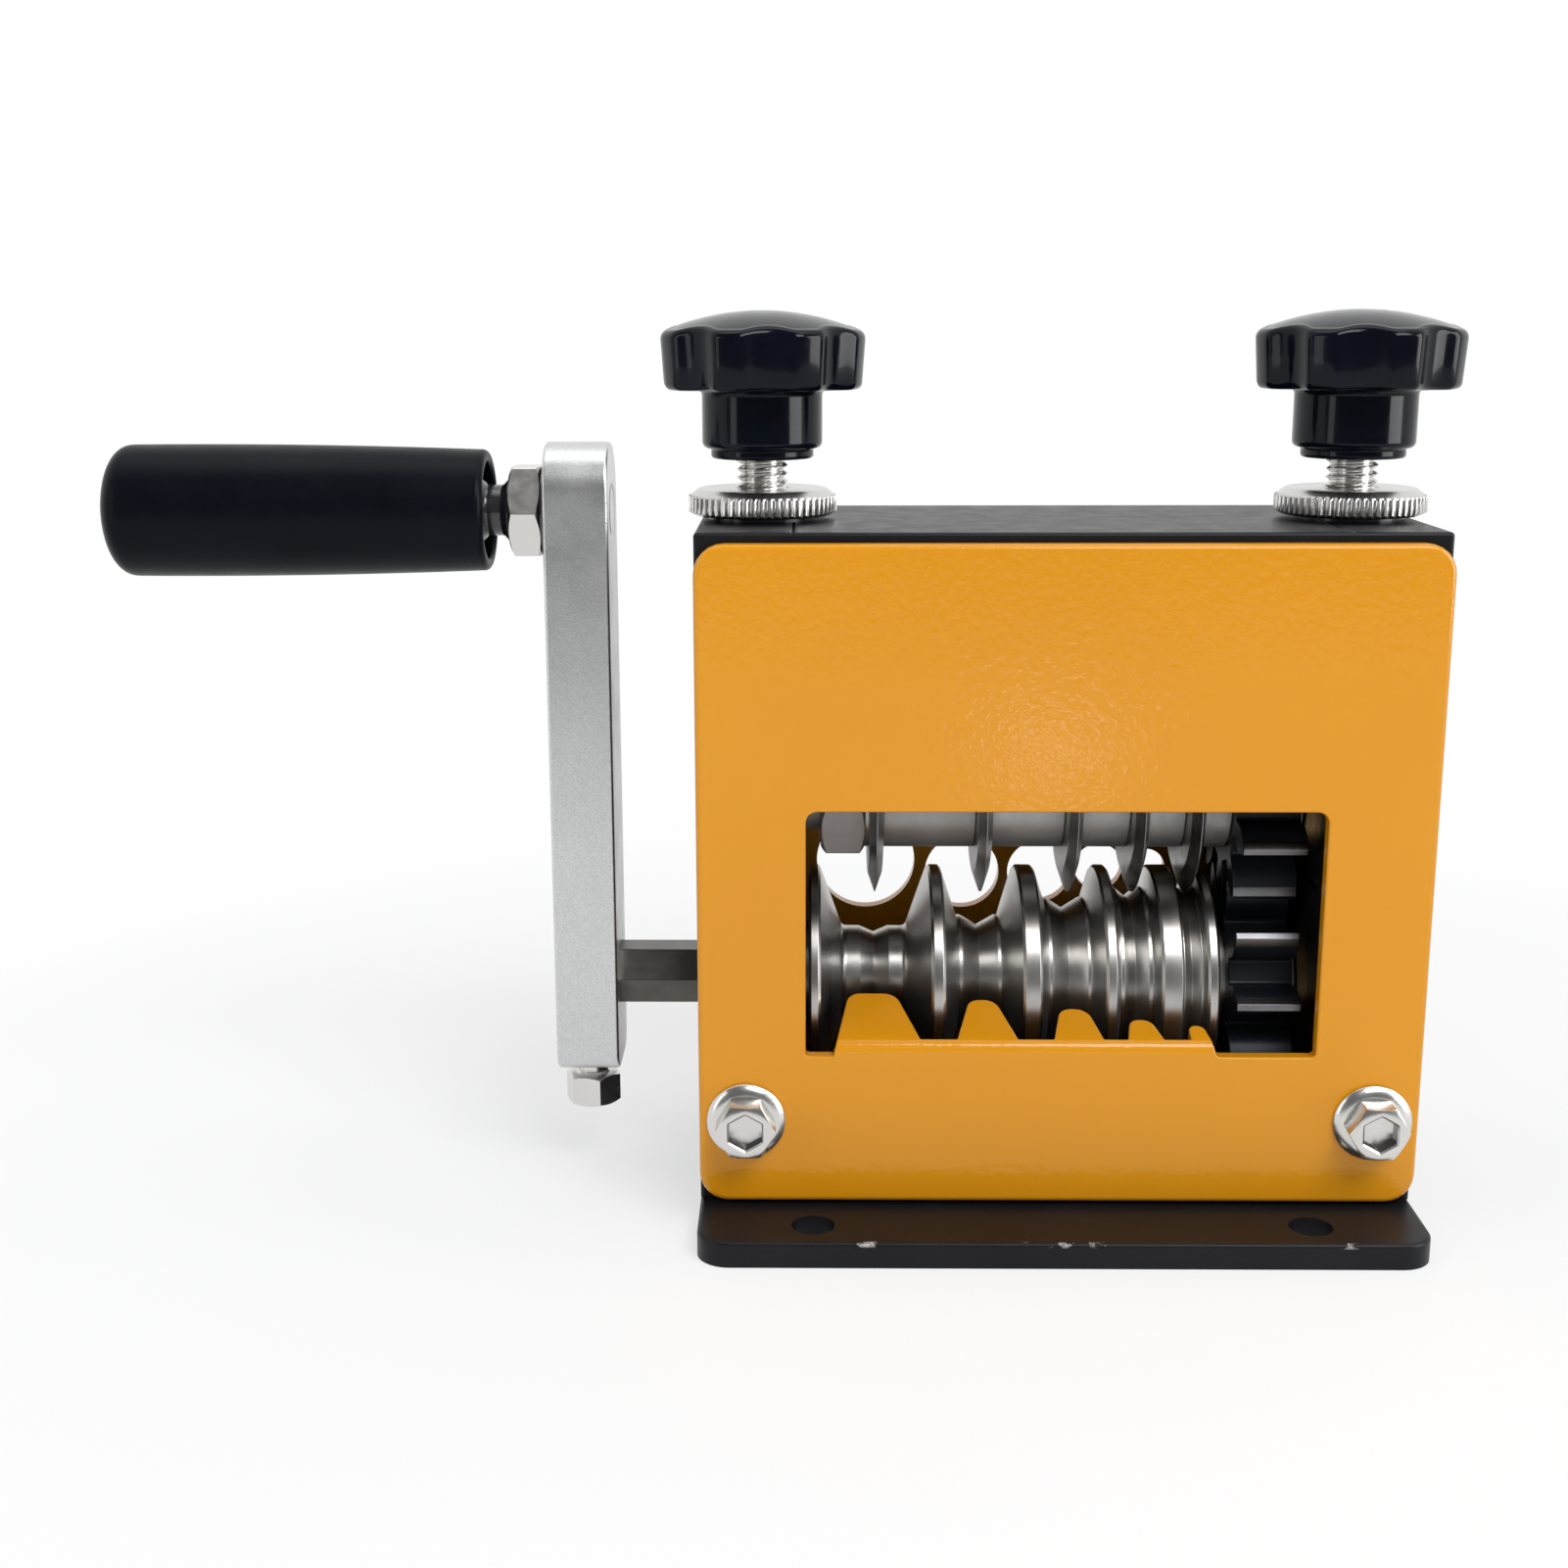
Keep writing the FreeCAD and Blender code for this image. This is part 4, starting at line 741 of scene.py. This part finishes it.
def gear_outline(first_tooth):
    """Corners of the gear in the (Y, Z) plane; first_tooth is the angle of a tooth from +Y."""
    pitch_r = GEAR_MODULE * GEAR_TEETH / 2
    base_r = pitch_r * math.cos(PRESSURE_ANGLE)
    tip_r = pitch_r + GEAR_MODULE
    root_r = pitch_r - 1.25 * GEAR_MODULE

    def involute(radius):
        slope = math.acos(base_r / radius)
        return math.tan(slope) - slope

    half_pitch = (math.pi * GEAR_MODULE / 2 - TOOTH_RELIEF) / (2 * pitch_r)
    at_base = half_pitch + involute(pitch_r)
    flank = [(root_r, at_base - TOOTH_RELIEF / pitch_r / 2, GEAR_ROOT_R), (base_r, at_base, 0)]
    for share in (0.4, 0.7, 1.0):
        radius = base_r + (tip_r - base_r) * share
        flank.append((radius, at_base - involute(radius), GEAR_TIP_EDGE if share == 1.0 else 0))
    flanks = flank + [(radius, -half, rounding) for radius, half, rounding in reversed(flank)]
    corners = []
    for tooth in range(GEAR_TEETH):
        centre = first_tooth + TAU * tooth / GEAR_TEETH
        for radius, half, rounding in flanks:
            angle = centre - half
            corners.append((radius * math.cos(angle), radius * math.sin(angle), rounding))
    return corners


def gear(node_name, first_tooth, axis_z):
    left, right = low(node_name).x, high(node_name).x
    rims = (gear_outline(first_tooth), round_hole(0, 0, JOURNAL_R))
    vertices, faces = sheet_solid([(rim, GEAR_EDGE, GEAR_EDGE) for rim in rims], right - left, steps=3)
    return [Vector((left + depth, y, axis_z + z)) for y, z, depth in vertices], faces


def refinish_or_shade(thing, material, chosen):
    """Another finish, or a painted shade, on the faces of a piece that chosen(face) picks."""
    thing.data.materials.append(material)
    for face in thing.data.polygons:
        if chosen(face):
            face.material_index = len(thing.data.materials) - 1


def grind_tips(thing, axis_z):
    """Bright finish on the lands of a gear's teeth and beside them."""
    tip_r = GEAR_MODULE * (GEAR_TEETH / 2 + 1)

    def at_tip(face):
        from_axis = math.hypot(face.center.y, face.center.z - axis_z)
        return from_axis > tip_r - GROUND_ZONE and abs(face.normal.x) < 0.5

    refinish_or_shade(thing, GROUND_TIPS, at_tip)


# ---------------------------------------------------------------- crank and handle

def crank_arm():
    """Bar with rounded edges, square below and round above, with the spindle's and the shaft's holes."""
    left, right = low("crank_arm"), high("crank_arm")
    half = (right.y - left.y) / 2
    outside = [(-half, left.z, ARM_CORNER_R), (half, left.z, ARM_CORNER_R),
               (half, right.z, half * 0.998), (-half, right.z, half * 0.998)]
    hole = round_hole(0, handle_z, SPINDLE_THREAD_R)
    bore_corner = (HEX_AF / 2 + HEX_GAP) / math.cos(TAU / 12)
    bore = clockwise([(bore_corner * math.cos(angle), drive_z + bore_corner * math.sin(angle), ARM_BORE_R)
                      for angle in even_angles(6)])
    outlines = [(outside, ARM_EDGE, ARM_EDGE), (hole, ARM_EDGE, ARM_EDGE), (bore, HEX_GAP, HEX_GAP)]
    vertices, faces = sheet_solid(outlines, right.x - left.x)
    return [Vector((left.x + depth, y, z)) for y, z, depth in vertices], faces


def set_bolt():
    """Bolt under the arm, with a domed lower end."""
    bottom = low("crank_set_bolt").z
    top = high("crank_set_bolt").z
    head_top = bottom + SET_BOLT_HEAD
    face_r = SET_BOLT_AF / 2 * 0.96
    rows, angles = chamfered_rows(SET_BOLT_AF, 0.3 * MM, bottom + 0.35 * MM, head_top, face_r)
    rows = [(0, bottom), (face_r * 0.5, bottom + 0.06 * MM), (face_r * 0.85, bottom + 0.2 * MM)] + rows
    shank = SET_BOLT_SHANK_R
    rows += [(shank + 0.35 * MM, head_top), (shank, head_top + 0.35 * MM), (shank, top - 0.4 * MM)]
    rows += [(shank - 0.4 * MM, top), (0, top)]
    turned = [angle + SET_BOLT_TURN for angle in angles]
    return placed(radial(rows, turned), upright(middle("crank_set_bolt").x))


def handle_spindle():
    """Rod in the grip, the dark collar before the nut, and the threaded end in the arm."""
    left, right = low("handle_spindle").x, high("handle_spindle").x
    nut_left = low("handle_nut").x
    grip_right = high("handle_grip").x
    neck = SPINDLE_THREAD_R - 0.05 * MM
    collar = SPINDLE_COLLAR_R
    profile = [(0, left, 0), (SPINDLE_ROD_R, left, 0.6 * MM)]
    profile += [(SPINDLE_ROD_R, grip_right - 1.2 * MM, 0.4 * MM), (neck, grip_right - 0.2 * MM, 0.8 * MM)]
    profile += [(neck, nut_left - 1.3 * MM, 0.6 * MM), (collar, nut_left - 0.4 * MM, 0.2 * MM)]
    profile += [(collar, nut_left, 0), (neck, nut_left, 0), (neck, right, 0.5 * MM), (0, right, 0)]
    return placed(lathe(profile), along_x(0, handle_z))


def handle_grip():
    """Slightly bulged, tapered grip with a domed outer end and a counterbore at the inner one."""
    left, right = low("handle_grip").x + GRIP_SHORTER, high("handle_grip").x
    outer_r, inner_r = GRIP_OUTER_R, GRIP_INNER_R
    rows = [(0, left)]
    roundness = 2 / 2.5
    for step in range(1, 17):
        angle = math.pi / 2 * step / 16
        height = left + GRIP_END * (1 - math.cos(angle) ** roundness)
        rows.append((outer_r * math.sin(angle) ** roundness, height))
    shoulder = left + GRIP_END
    edge = right - GRIP_EDGE
    for step in range(1, 25):
        share = step / 24
        chord = outer_r + (inner_r - outer_r) * share
        bulge = GRIP_BULGE * 4 * share * (1 - share)
        rows.append((chord + bulge, shoulder + (edge - shoulder) * share))
    lip = [(inner_r, edge, 0), (inner_r, right, 0.9 * MM), (GRIP_COUNTERBORE_R, right, 0.5 * MM)]
    floor = right - GRIP_COUNTERBORE
    lip += [(GRIP_COUNTERBORE_R, floor, 0.2 * MM), (SPINDLE_ROD_R, floor, 0)]
    bore_end = low("handle_spindle").x - GRIP_BORE_SPARE
    lip += [(SPINDLE_ROD_R, bore_end, 0), (0, bore_end, 0)]
    rows += soften(lip)[1:]
    return placed(radial(rows, even_angles(128)), along_x(0, handle_z))


# ---------------------------------------------------------------- knobs, screws, lock nuts, bolts

def knob_head_radius(angle, head_r):
    """Head of the knob with its scallops; a lobe lies at angle 0."""
    from_valley = (angle % (TAU / KNOB_LOBES)) - TAU / KNOB_LOBES / 2
    centre = head_r - KNOB_SCALLOP_DEPTH + KNOB_SCALLOP_R
    inside = KNOB_SCALLOP_R ** 2 - (centre * math.sin(from_valley)) ** 2
    if inside <= 0:
        return head_r
    scallop = centre * math.cos(from_valley) - math.sqrt(inside)
    share = min(max(0.5 + 0.5 * (head_r - scallop) / KNOB_BLEND, 0.0), 1.0)
    return head_r + (scallop - head_r) * share - KNOB_BLEND * share * (1 - share)


def knob(node_name, turn):
    """Star knob: lip, hub, head with a lobed side and a shallow dome."""
    base = low(node_name).z
    top = high(node_name).z
    head_r = KNOB_HEAD_R
    head_low = base + KNOB_LIP + KNOB_HUB
    side_top = top - KNOB_DOME
    angles = [turn + angle for angle in even_angles(KNOB_LOBES * 26)]
    edges = [knob_head_radius(angle - turn, head_r) for angle in angles]

    def dome(radius):
        return side_top + KNOB_DOME * (1 - (radius / head_r) ** 2)

    foot = [(0, base, 0), (KNOB_LIP_R, base, 0.5 * MM), (KNOB_LIP_R, base + KNOB_LIP, 0.3 * MM)]
    foot += [(KNOB_HUB_R, base + KNOB_LIP, 1.0 * MM), (KNOB_HUB_R, head_low, 0.9 * MM)]
    foot += [(head_r - 3.0 * MM, head_low, 0)]
    rows = soften(foot)
    for step in range(6):
        angle = math.pi / 2 * step / 5
        inset = KNOB_UNDER_R * (1 - math.sin(angle)) + KNOB_UNDER_INSET
        rows.append([(edge - inset, head_low + KNOB_UNDER_R * (1 - math.cos(angle))) for edge in edges])
    for step in range(8):
        angle = math.pi / 2 * step / 7
        inset = KNOB_EDGE_R * (1 - math.cos(angle))
        rows.append([(edge - inset, dome(edge - KNOB_EDGE_R) - KNOB_EDGE_R * (1 - math.sin(angle)))
                     for edge in edges])
    for share in (0.97, 0.9, 0.8, 0.68, 0.54, 0.4, 0.26, 0.12):
        rows.append([((edge - KNOB_EDGE_R) * share, dome((edge - KNOB_EDGE_R) * share)) for edge in edges])
    rows.append((0, top))
    return placed(radial(rows, angles), upright(middle(node_name).x))


def adjusting_screw(side):
    """Screw with a real thread where it shows, between the frame and the knob."""
    node_name = side + "_adjusting_screw"
    bottom, top = low(node_name).z, high(node_name).z
    outer_r = (high(node_name).x - low(node_name).x) / 2
    thread_low = high("top_plate").z - THREAD_BELOW
    thread_high = low(side + "_knob").z + 1.0 * MM
    angles = even_angles(36)
    core_r = outer_r - 1.0 * MM
    rows = [(0, bottom), (core_r, bottom), (core_r, thread_low - 0.5 * MM)]
    per_turn = 10
    for step in range(round((thread_high - thread_low) / THREAD_PITCH * per_turn) + 1):
        height = thread_low + THREAD_PITCH * step / per_turn
        ring = []
        for angle in angles:
            phase = (height / THREAD_PITCH - angle / TAU) % 1.0
            crest = min(1.0, abs(phase - 0.5) * 2 * 1.25)
            ring.append((outer_r - THREAD_DEPTH * crest, height))
        rows.append(ring)
    rows += [(outer_r - 0.4 * MM, thread_high + 0.3 * MM), (outer_r - 0.4 * MM, top), (0, top)]
    return placed(radial(rows, angles), upright(middle(node_name).x))


def lock_nut(side):
    """Round nut with a straight knurl between two chamfers."""
    node_name = side + "_lock_nut"
    bottom, top = low(node_name).z, high(node_name).z
    outer_r = (high(node_name).x - low(node_name).x) / 2
    bore = LOCK_NUT_BORE_R
    per_ridge = 6
    angles = even_angles(KNURL_RIDGES * per_ridge)
    wave = (0.0, 0.0, 0.75, 1.0, 1.0, 0.75)
    depths = [KNURL_DEPTH * wave[index % per_ridge] for index in range(len(angles))]
    root = outer_r - KNURL_DEPTH - 0.05 * MM

    def knurl(height):
        return [(outer_r - depth, height) for depth in depths]

    rows = [(bore, bottom + 0.4 * MM), (bore + 0.4 * MM, bottom), (root - 0.5 * MM, bottom)]
    rows += [(root, bottom + 0.30 * MM), knurl(bottom + 0.55 * MM), knurl(top - 1.15 * MM)]
    rows += [(root, top - 0.90 * MM), (root - 0.10 * MM, top - 0.80 * MM)]
    rows += [(outer_r - 1.55 * MM, top - 0.06 * MM), (outer_r - 1.75 * MM, top)]
    rows += [(bore + 0.5 * MM, top), (bore, top - 0.5 * MM)]
    return placed(radial(rows, angles), upright(middle(node_name).x))


def flange_bolt(x, z):
    """Bolt of the front cover, with a conical flange and a hexagon socket in its hexagon head."""
    head_end = abs(low("front_cover_bolts").y - cover_front)
    face_r = FLANGE_BOLT_AF / 2 * 0.95
    rows, angles = chamfered_rows(FLANGE_BOLT_AF, 0.25 * MM, FLANGE_THICK, head_end, face_r, at_start=False)
    socket = [(hexagon_radius(angle + TAU / 12, FLANGE_BOLT_SOCKET_AF, 0.15 * MM), 0) for angle in angles]
    floor = head_end - FLANGE_BOLT_SOCKET_DEPTH
    foot = [(0, 0.0), (FLANGE_R - 0.15 * MM, 0.0), (FLANGE_R, 0.15 * MM), (FLANGE_R, 0.55 * MM)]
    foot += [(FLANGE_R - 0.15 * MM, 0.75 * MM), (FLANGE_BOLT_AF / 2 + 0.75 * MM, FLANGE_THICK)]
    mouth = [(radius + 0.25 * MM, head_end) for radius, _ in socket]
    lip = [(radius, head_end - 0.25 * MM) for radius, _ in socket]
    deep = [(radius, floor) for radius, _ in socket]
    rows = foot + rows + [mouth, lip, deep, (0, floor - 0.4 * MM)]
    return placed(radial(rows, angles), towards_front(x, cover_front, z))


# ---------------------------------------------------------------- assembly

def dress_nodes():
    """Give the CAD nodes that stay their finish, by the record's slots."""
    for part in frame["record"]["subparts"]:
        thing = frame["nodes"][part["node"]]
        finish = BASE_BLACK if part["node"] == "base_plate" else MATERIALS[part["material_slot"]]
        for slot in thing.material_slots:
            slot.material = finish


def add(name, solid, slot, body, *replaces, sharp=SHARP):
    return piece(name, solid, MATERIALS[slot], body, replaces, sharp)


def in_socket(face, bolt_x, reach, height, mouth_y):
    """Whether a face is a wall of the hexagon socket of one of a cover's two bolts."""
    from_axis = math.hypot(abs(face.center.x - bolt_x) - reach, face.center.z - height)
    is_wall = abs(face.normal.y) < 0.5
    return is_wall and from_axis < FLANGE_BOLT_SOCKET_AF / 2 * 1.2 and abs(face.center.y) < mouth_y


def build_pieces():
    add("cover_sheet", front_cover(), "cover_orange", "frame", "front_cover", sharp=math.radians(60))
    roller = add("grooved_roller", feed_roller(), "roller_steel", "drive", "feed_roller")
    end_face, frame_left = low("feed_roller").x + 0.1 * MM, low("left_side_plate").x
    refinish_or_shade(roller, DARK_HEXAGON, lambda face: end_face < face.center.x < frame_left)
    for number in range(1, len(LANES) + 1):
        add("disc_blade_%d" % number, blade(number), "blade_steel", "blade_shaft_set", "blade_%d" % number)
        add("shaft_spacer_%d" % number, spacer(number), "shaft_steel", "blade_shaft_set",
            "blade_spacer_%d" % number)
    solid = hexagon_nut("blade_jam_nut", JAM_NUT_AF, JAM_NUT_ROUND, JOURNAL_R, 0.6 * MM, blade_z)
    nut = add("shaft_jam_nut", solid, "shaft_steel", "blade_shaft_set", "blade_jam_nut")
    refinish_or_shade(nut, MATT_NUT, lambda face: True)
    lower = add("lower_gear", gear("drive_gear", 0.0, drive_z), "gear_steel", "drive", "drive_gear")
    upper = add("upper_gear", gear("blade_gear", -TAU / 4, blade_z), "gear_steel", "blade_shaft_set",
                "blade_gear")
    grind_tips(lower, drive_z)
    grind_tips(upper, blade_z)
    add("arm_bar", crank_arm(), "arm_aluminium", "drive", "crank_arm")
    add("arm_set_bolt", set_bolt(), "bright_fastener", "drive", "crank_set_bolt")
    solid = hexagon_nut("handle_nut", HANDLE_NUT_AF, HANDLE_NUT_ROUND, SPINDLE_THREAD_R, 0.5 * MM, handle_z)
    add("spindle_nut", solid, "bright_fastener", "drive", "handle_nut")
    add("spindle", handle_spindle(), "black_fastener", "drive", "handle_spindle")
    add("grip", handle_grip(), "grip_plastic", "grip", "handle_grip")
    for side, turn in KNOB_TURNS:
        adjuster = side + "_adjuster"
        add(side + "_star_knob", knob(side + "_knob", turn), "knob_plastic", adjuster, side + "_knob")
        add(side + "_screw", adjusting_screw(side), "bright_fastener", adjuster, side + "_adjusting_screw",
            sharp=math.radians(50))
        add(side + "_knurled_nut", lock_nut(side), "knurled_zinc", side + "_lock_nut", side + "_lock_nut")
    for place in ("front", "rear"):
        node_name = place + "_cover_bolts"
        bolt_x = (low(node_name).x + high(node_name).x) / 2
        reach = (high(node_name).x - low(node_name).x) / 2 - FLANGE_R
        height = middle(node_name).z
        solids = []
        for x in (bolt_x - reach, bolt_x + reach):
            solid = flange_bolt(x, height)
            if place == "rear":
                solid = placed(solid, Matrix.Rotation(math.pi, 4, "Z"))
            solids.append(solid)
        bolts = add(place + "_flange_bolts", joined(*solids), "bright_fastener", "frame", node_name)
        socket_y = abs(low("front_cover_bolts").y) - 0.3 * MM
        # the socket walls take the darker steel, a painted shade in the recess
        refinish_or_shade(bolts, SOCKET_WALL_SHADE, lambda face: in_socket(face, bolt_x, reach, height, socket_y))


# ---------------------------------------------------------------- camera, floor and light

CAMERA_PLACE = (-0.038072, -0.317258, 0.137517)
CAMERA_PITCH = math.radians(12.869)     # down from the horizontal
CAMERA_YAW = math.radians(0.74)         # to the left of +Y
CAMERA_ROLL = math.radians(-0.124)
LENS = 46.70
SENSOR = 36.0

# dim card that only reflections see: painted shade for the unlit end of the studio behind the camera
CARD_Y = -0.78
CARD_LOW = 0.0
CARD_HIGH = 2.4
CARD_HALF_WIDTH = 2.2
CARD_GREY = 0.15
# bright card low in front that only reflections see and that lights nothing: a painted highlight on the
# cover's coat
HIGHLIGHT_CARD_X = 0.040
HIGHLIGHT_CARD_EDGES = ((-0.345, 0.020), (-0.410, 0.007))    # near and far edge: its Y, half its width
HIGHLIGHT_CARD_HEIGHT = 0.002
HIGHLIGHT_CARD_GLOW = 6.5
# bright card on the right that only reflections see and that lights nothing: painted highlights on the
# knobs, the arm and the bolts
SIDE_CARD_X = 0.75
SIDE_CARD_Y = (-0.56, -0.12)
SIDE_CARD_Z = (0.03, 0.70)
SIDE_CARD_GLOW = 8.0

WORLD_LIGHT = (0.44, 0.45, 0.47)
FLOOR_HALF = 3.0
FLOOR_FADE = (0.10, 0.26)       # from the origin: where the white starts to grow, and where it is full
FLOOR_WHITE = (0.60, 1.0)       # its share there
LAMPS = (       # name, place, aim, size and power
    ("key", (0.30, -0.55, 0.76), (0, 0, 0.05), (0.55, 0.36), 5.2),
    ("fill", (-0.75, -0.50, 0.30), (0, 0, 0.06), (0.20, 0.60), 0.9),
    ("overhead", (0.0, 0.05, 1.0), (0, 0, 0.08), (0.9, 0.4), 1.6),
)


def add_camera():
    data = bpy.data.cameras.new("camera")
    data.lens = LENS
    data.sensor_width = SENSOR
    data.clip_start = 0.01
    camera = linked("camera", data)
    turn = Matrix.Rotation(CAMERA_YAW, 4, "Z") @ Matrix.Rotation(math.pi / 2 - CAMERA_PITCH, 4, "X")
    camera.matrix_world = Matrix.Translation(CAMERA_PLACE) @ turn @ Matrix.Rotation(CAMERA_ROLL, 4, "Z")
    bpy.context.scene.camera = camera


def seen_directly(tree):
    """1 for rays that show a background: from the camera, a reflection or glass."""
    path = node(tree, "ShaderNodeLightPath")
    total = path.outputs["Is Camera Ray"]
    for name in ("Is Glossy Ray", "Is Transmission Ray"):
        total = calculated(tree, "Math", "MAXIMUM", "Value", total, path.outputs[name])
    return total


def add_world():
    world = bpy.data.worlds.new("studio")
    bpy.context.scene.world = world
    world.use_nodes = True
    tree = world.node_tree
    background = tree.nodes["Background"]
    colour = mixed(tree, seen_directly(tree), WORLD_LIGHT, (1.0, 1.0, 1.0))
    tree.links.new(colour, background.inputs["Color"])
    background.inputs["Strength"].default_value = 1.0


def add_floor():
    """Pale floor that keeps the shadow near the object and turns into the white background far off."""
    mesh = bpy.data.meshes.new("floor")
    half = FLOOR_HALF
    corners = [(-half, -half, 0), (half, -half, 0), (half, half, 0), (-half, half, 0)]
    mesh.from_pydata(corners, [], [(0, 1, 2, 3)])
    floor = linked("floor", mesh)
    material = bpy.data.materials.new("floor")
    material.use_nodes = True
    tree = material.node_tree
    shader = tree.nodes["Principled BSDF"]
    shader.inputs["Base Color"].default_value = (0.92, 0.92, 0.92, 1)
    shader.inputs["Roughness"].default_value = 0.9
    place = node(tree, "ShaderNodeTexCoord").outputs["Object"]
    distance = calculated(tree, "VectorMath", "LENGTH", "Value", place)
    far = ranged(tree, distance, *FLOOR_FADE, *FLOOR_WHITE)
    share = calculated(tree, "Math", "MULTIPLY", "Value", far, seen_directly(tree))
    white = node(tree, "ShaderNodeEmission", Color=(1, 1, 1, 1), Strength=1.0)
    blend = node(tree, "ShaderNodeMixShader", Fac=share)
    tree.links.new(shader.outputs["BSDF"], blend.inputs[1])
    tree.links.new(white.outputs["Emission"], blend.inputs[2])
    tree.links.new(blend.outputs["Shader"], tree.nodes["Material Output"].inputs["Surface"])
    mesh.materials.append(material)


def add_card(name, corners, strength):
    """Glowing card that only reflections see and that lights nothing: a dim one is painted shade for the
    unlit end of a studio behind the camera, a bright one a painted highlight.
    """
    mesh = bpy.data.meshes.new(name)
    mesh.from_pydata(corners, [], [(0, 1, 2, 3)])
    card = linked(name, mesh)
    card.visible_camera = False
    card.visible_diffuse = False
    card.visible_shadow = False
    material = bpy.data.materials.new(name)
    material.use_nodes = True
    tree = material.node_tree
    glow = node(tree, "ShaderNodeEmission", Color=(1, 1, 1, 1), Strength=strength)
    tree.links.new(glow.outputs["Emission"], tree.nodes["Material Output"].inputs["Surface"])
    mesh.materials.append(material)


def add_cards():
    # the dim card paints shade into reflections; the two bright cards paint highlights
    half, low_edge, high_edge, y = CARD_HALF_WIDTH, CARD_LOW, CARD_HIGH, CARD_Y
    wall = [(-half, y, low_edge), (half, y, low_edge), (half, y, high_edge), (-half, y, high_edge)]
    add_card("studio_end", wall, CARD_GREY)
    # glowing card that paints the highlight on the cover
    (near_y, near_half), (far_y, far_half) = HIGHLIGHT_CARD_EDGES
    sheet = [(HIGHLIGHT_CARD_X - far_half, far_y), (HIGHLIGHT_CARD_X + far_half, far_y),
             (HIGHLIGHT_CARD_X + near_half, near_y), (HIGHLIGHT_CARD_X - near_half, near_y)]
    add_card("cover_highlight_card", [(*corner, HIGHLIGHT_CARD_HEIGHT) for corner in sheet], HIGHLIGHT_CARD_GLOW)
    # glowing card that paints highlights on the knobs, the arm and the bolts
    (y0, y1), (z0, z1) = SIDE_CARD_Y, SIDE_CARD_Z
    box = [(SIDE_CARD_X, y0, z0), (SIDE_CARD_X, y1, z0), (SIDE_CARD_X, y1, z1), (SIDE_CARD_X, y0, z1)]
    add_card("side_highlight_card", box, SIDE_CARD_GLOW)


def add_lamp(name, place, aim, size, power):
    data = bpy.data.lights.new(name, "AREA")
    data.shape = "RECTANGLE"
    data.size, data.size_y = size
    data.energy = power
    lamp = linked(name, data)
    lamp.location = place
    lamp.rotation_euler = (Vector(aim) - Vector(place)).to_track_quat("-Z", "Y").to_euler()


# ---------------------------------------------------------------- run

dress_nodes()
build_pieces()
add_camera()
add_world()
add_floor()
add_cards()
for lamp in LAMPS:
    add_lamp(*lamp)
bpy.context.scene.view_settings.view_transform = "Standard"
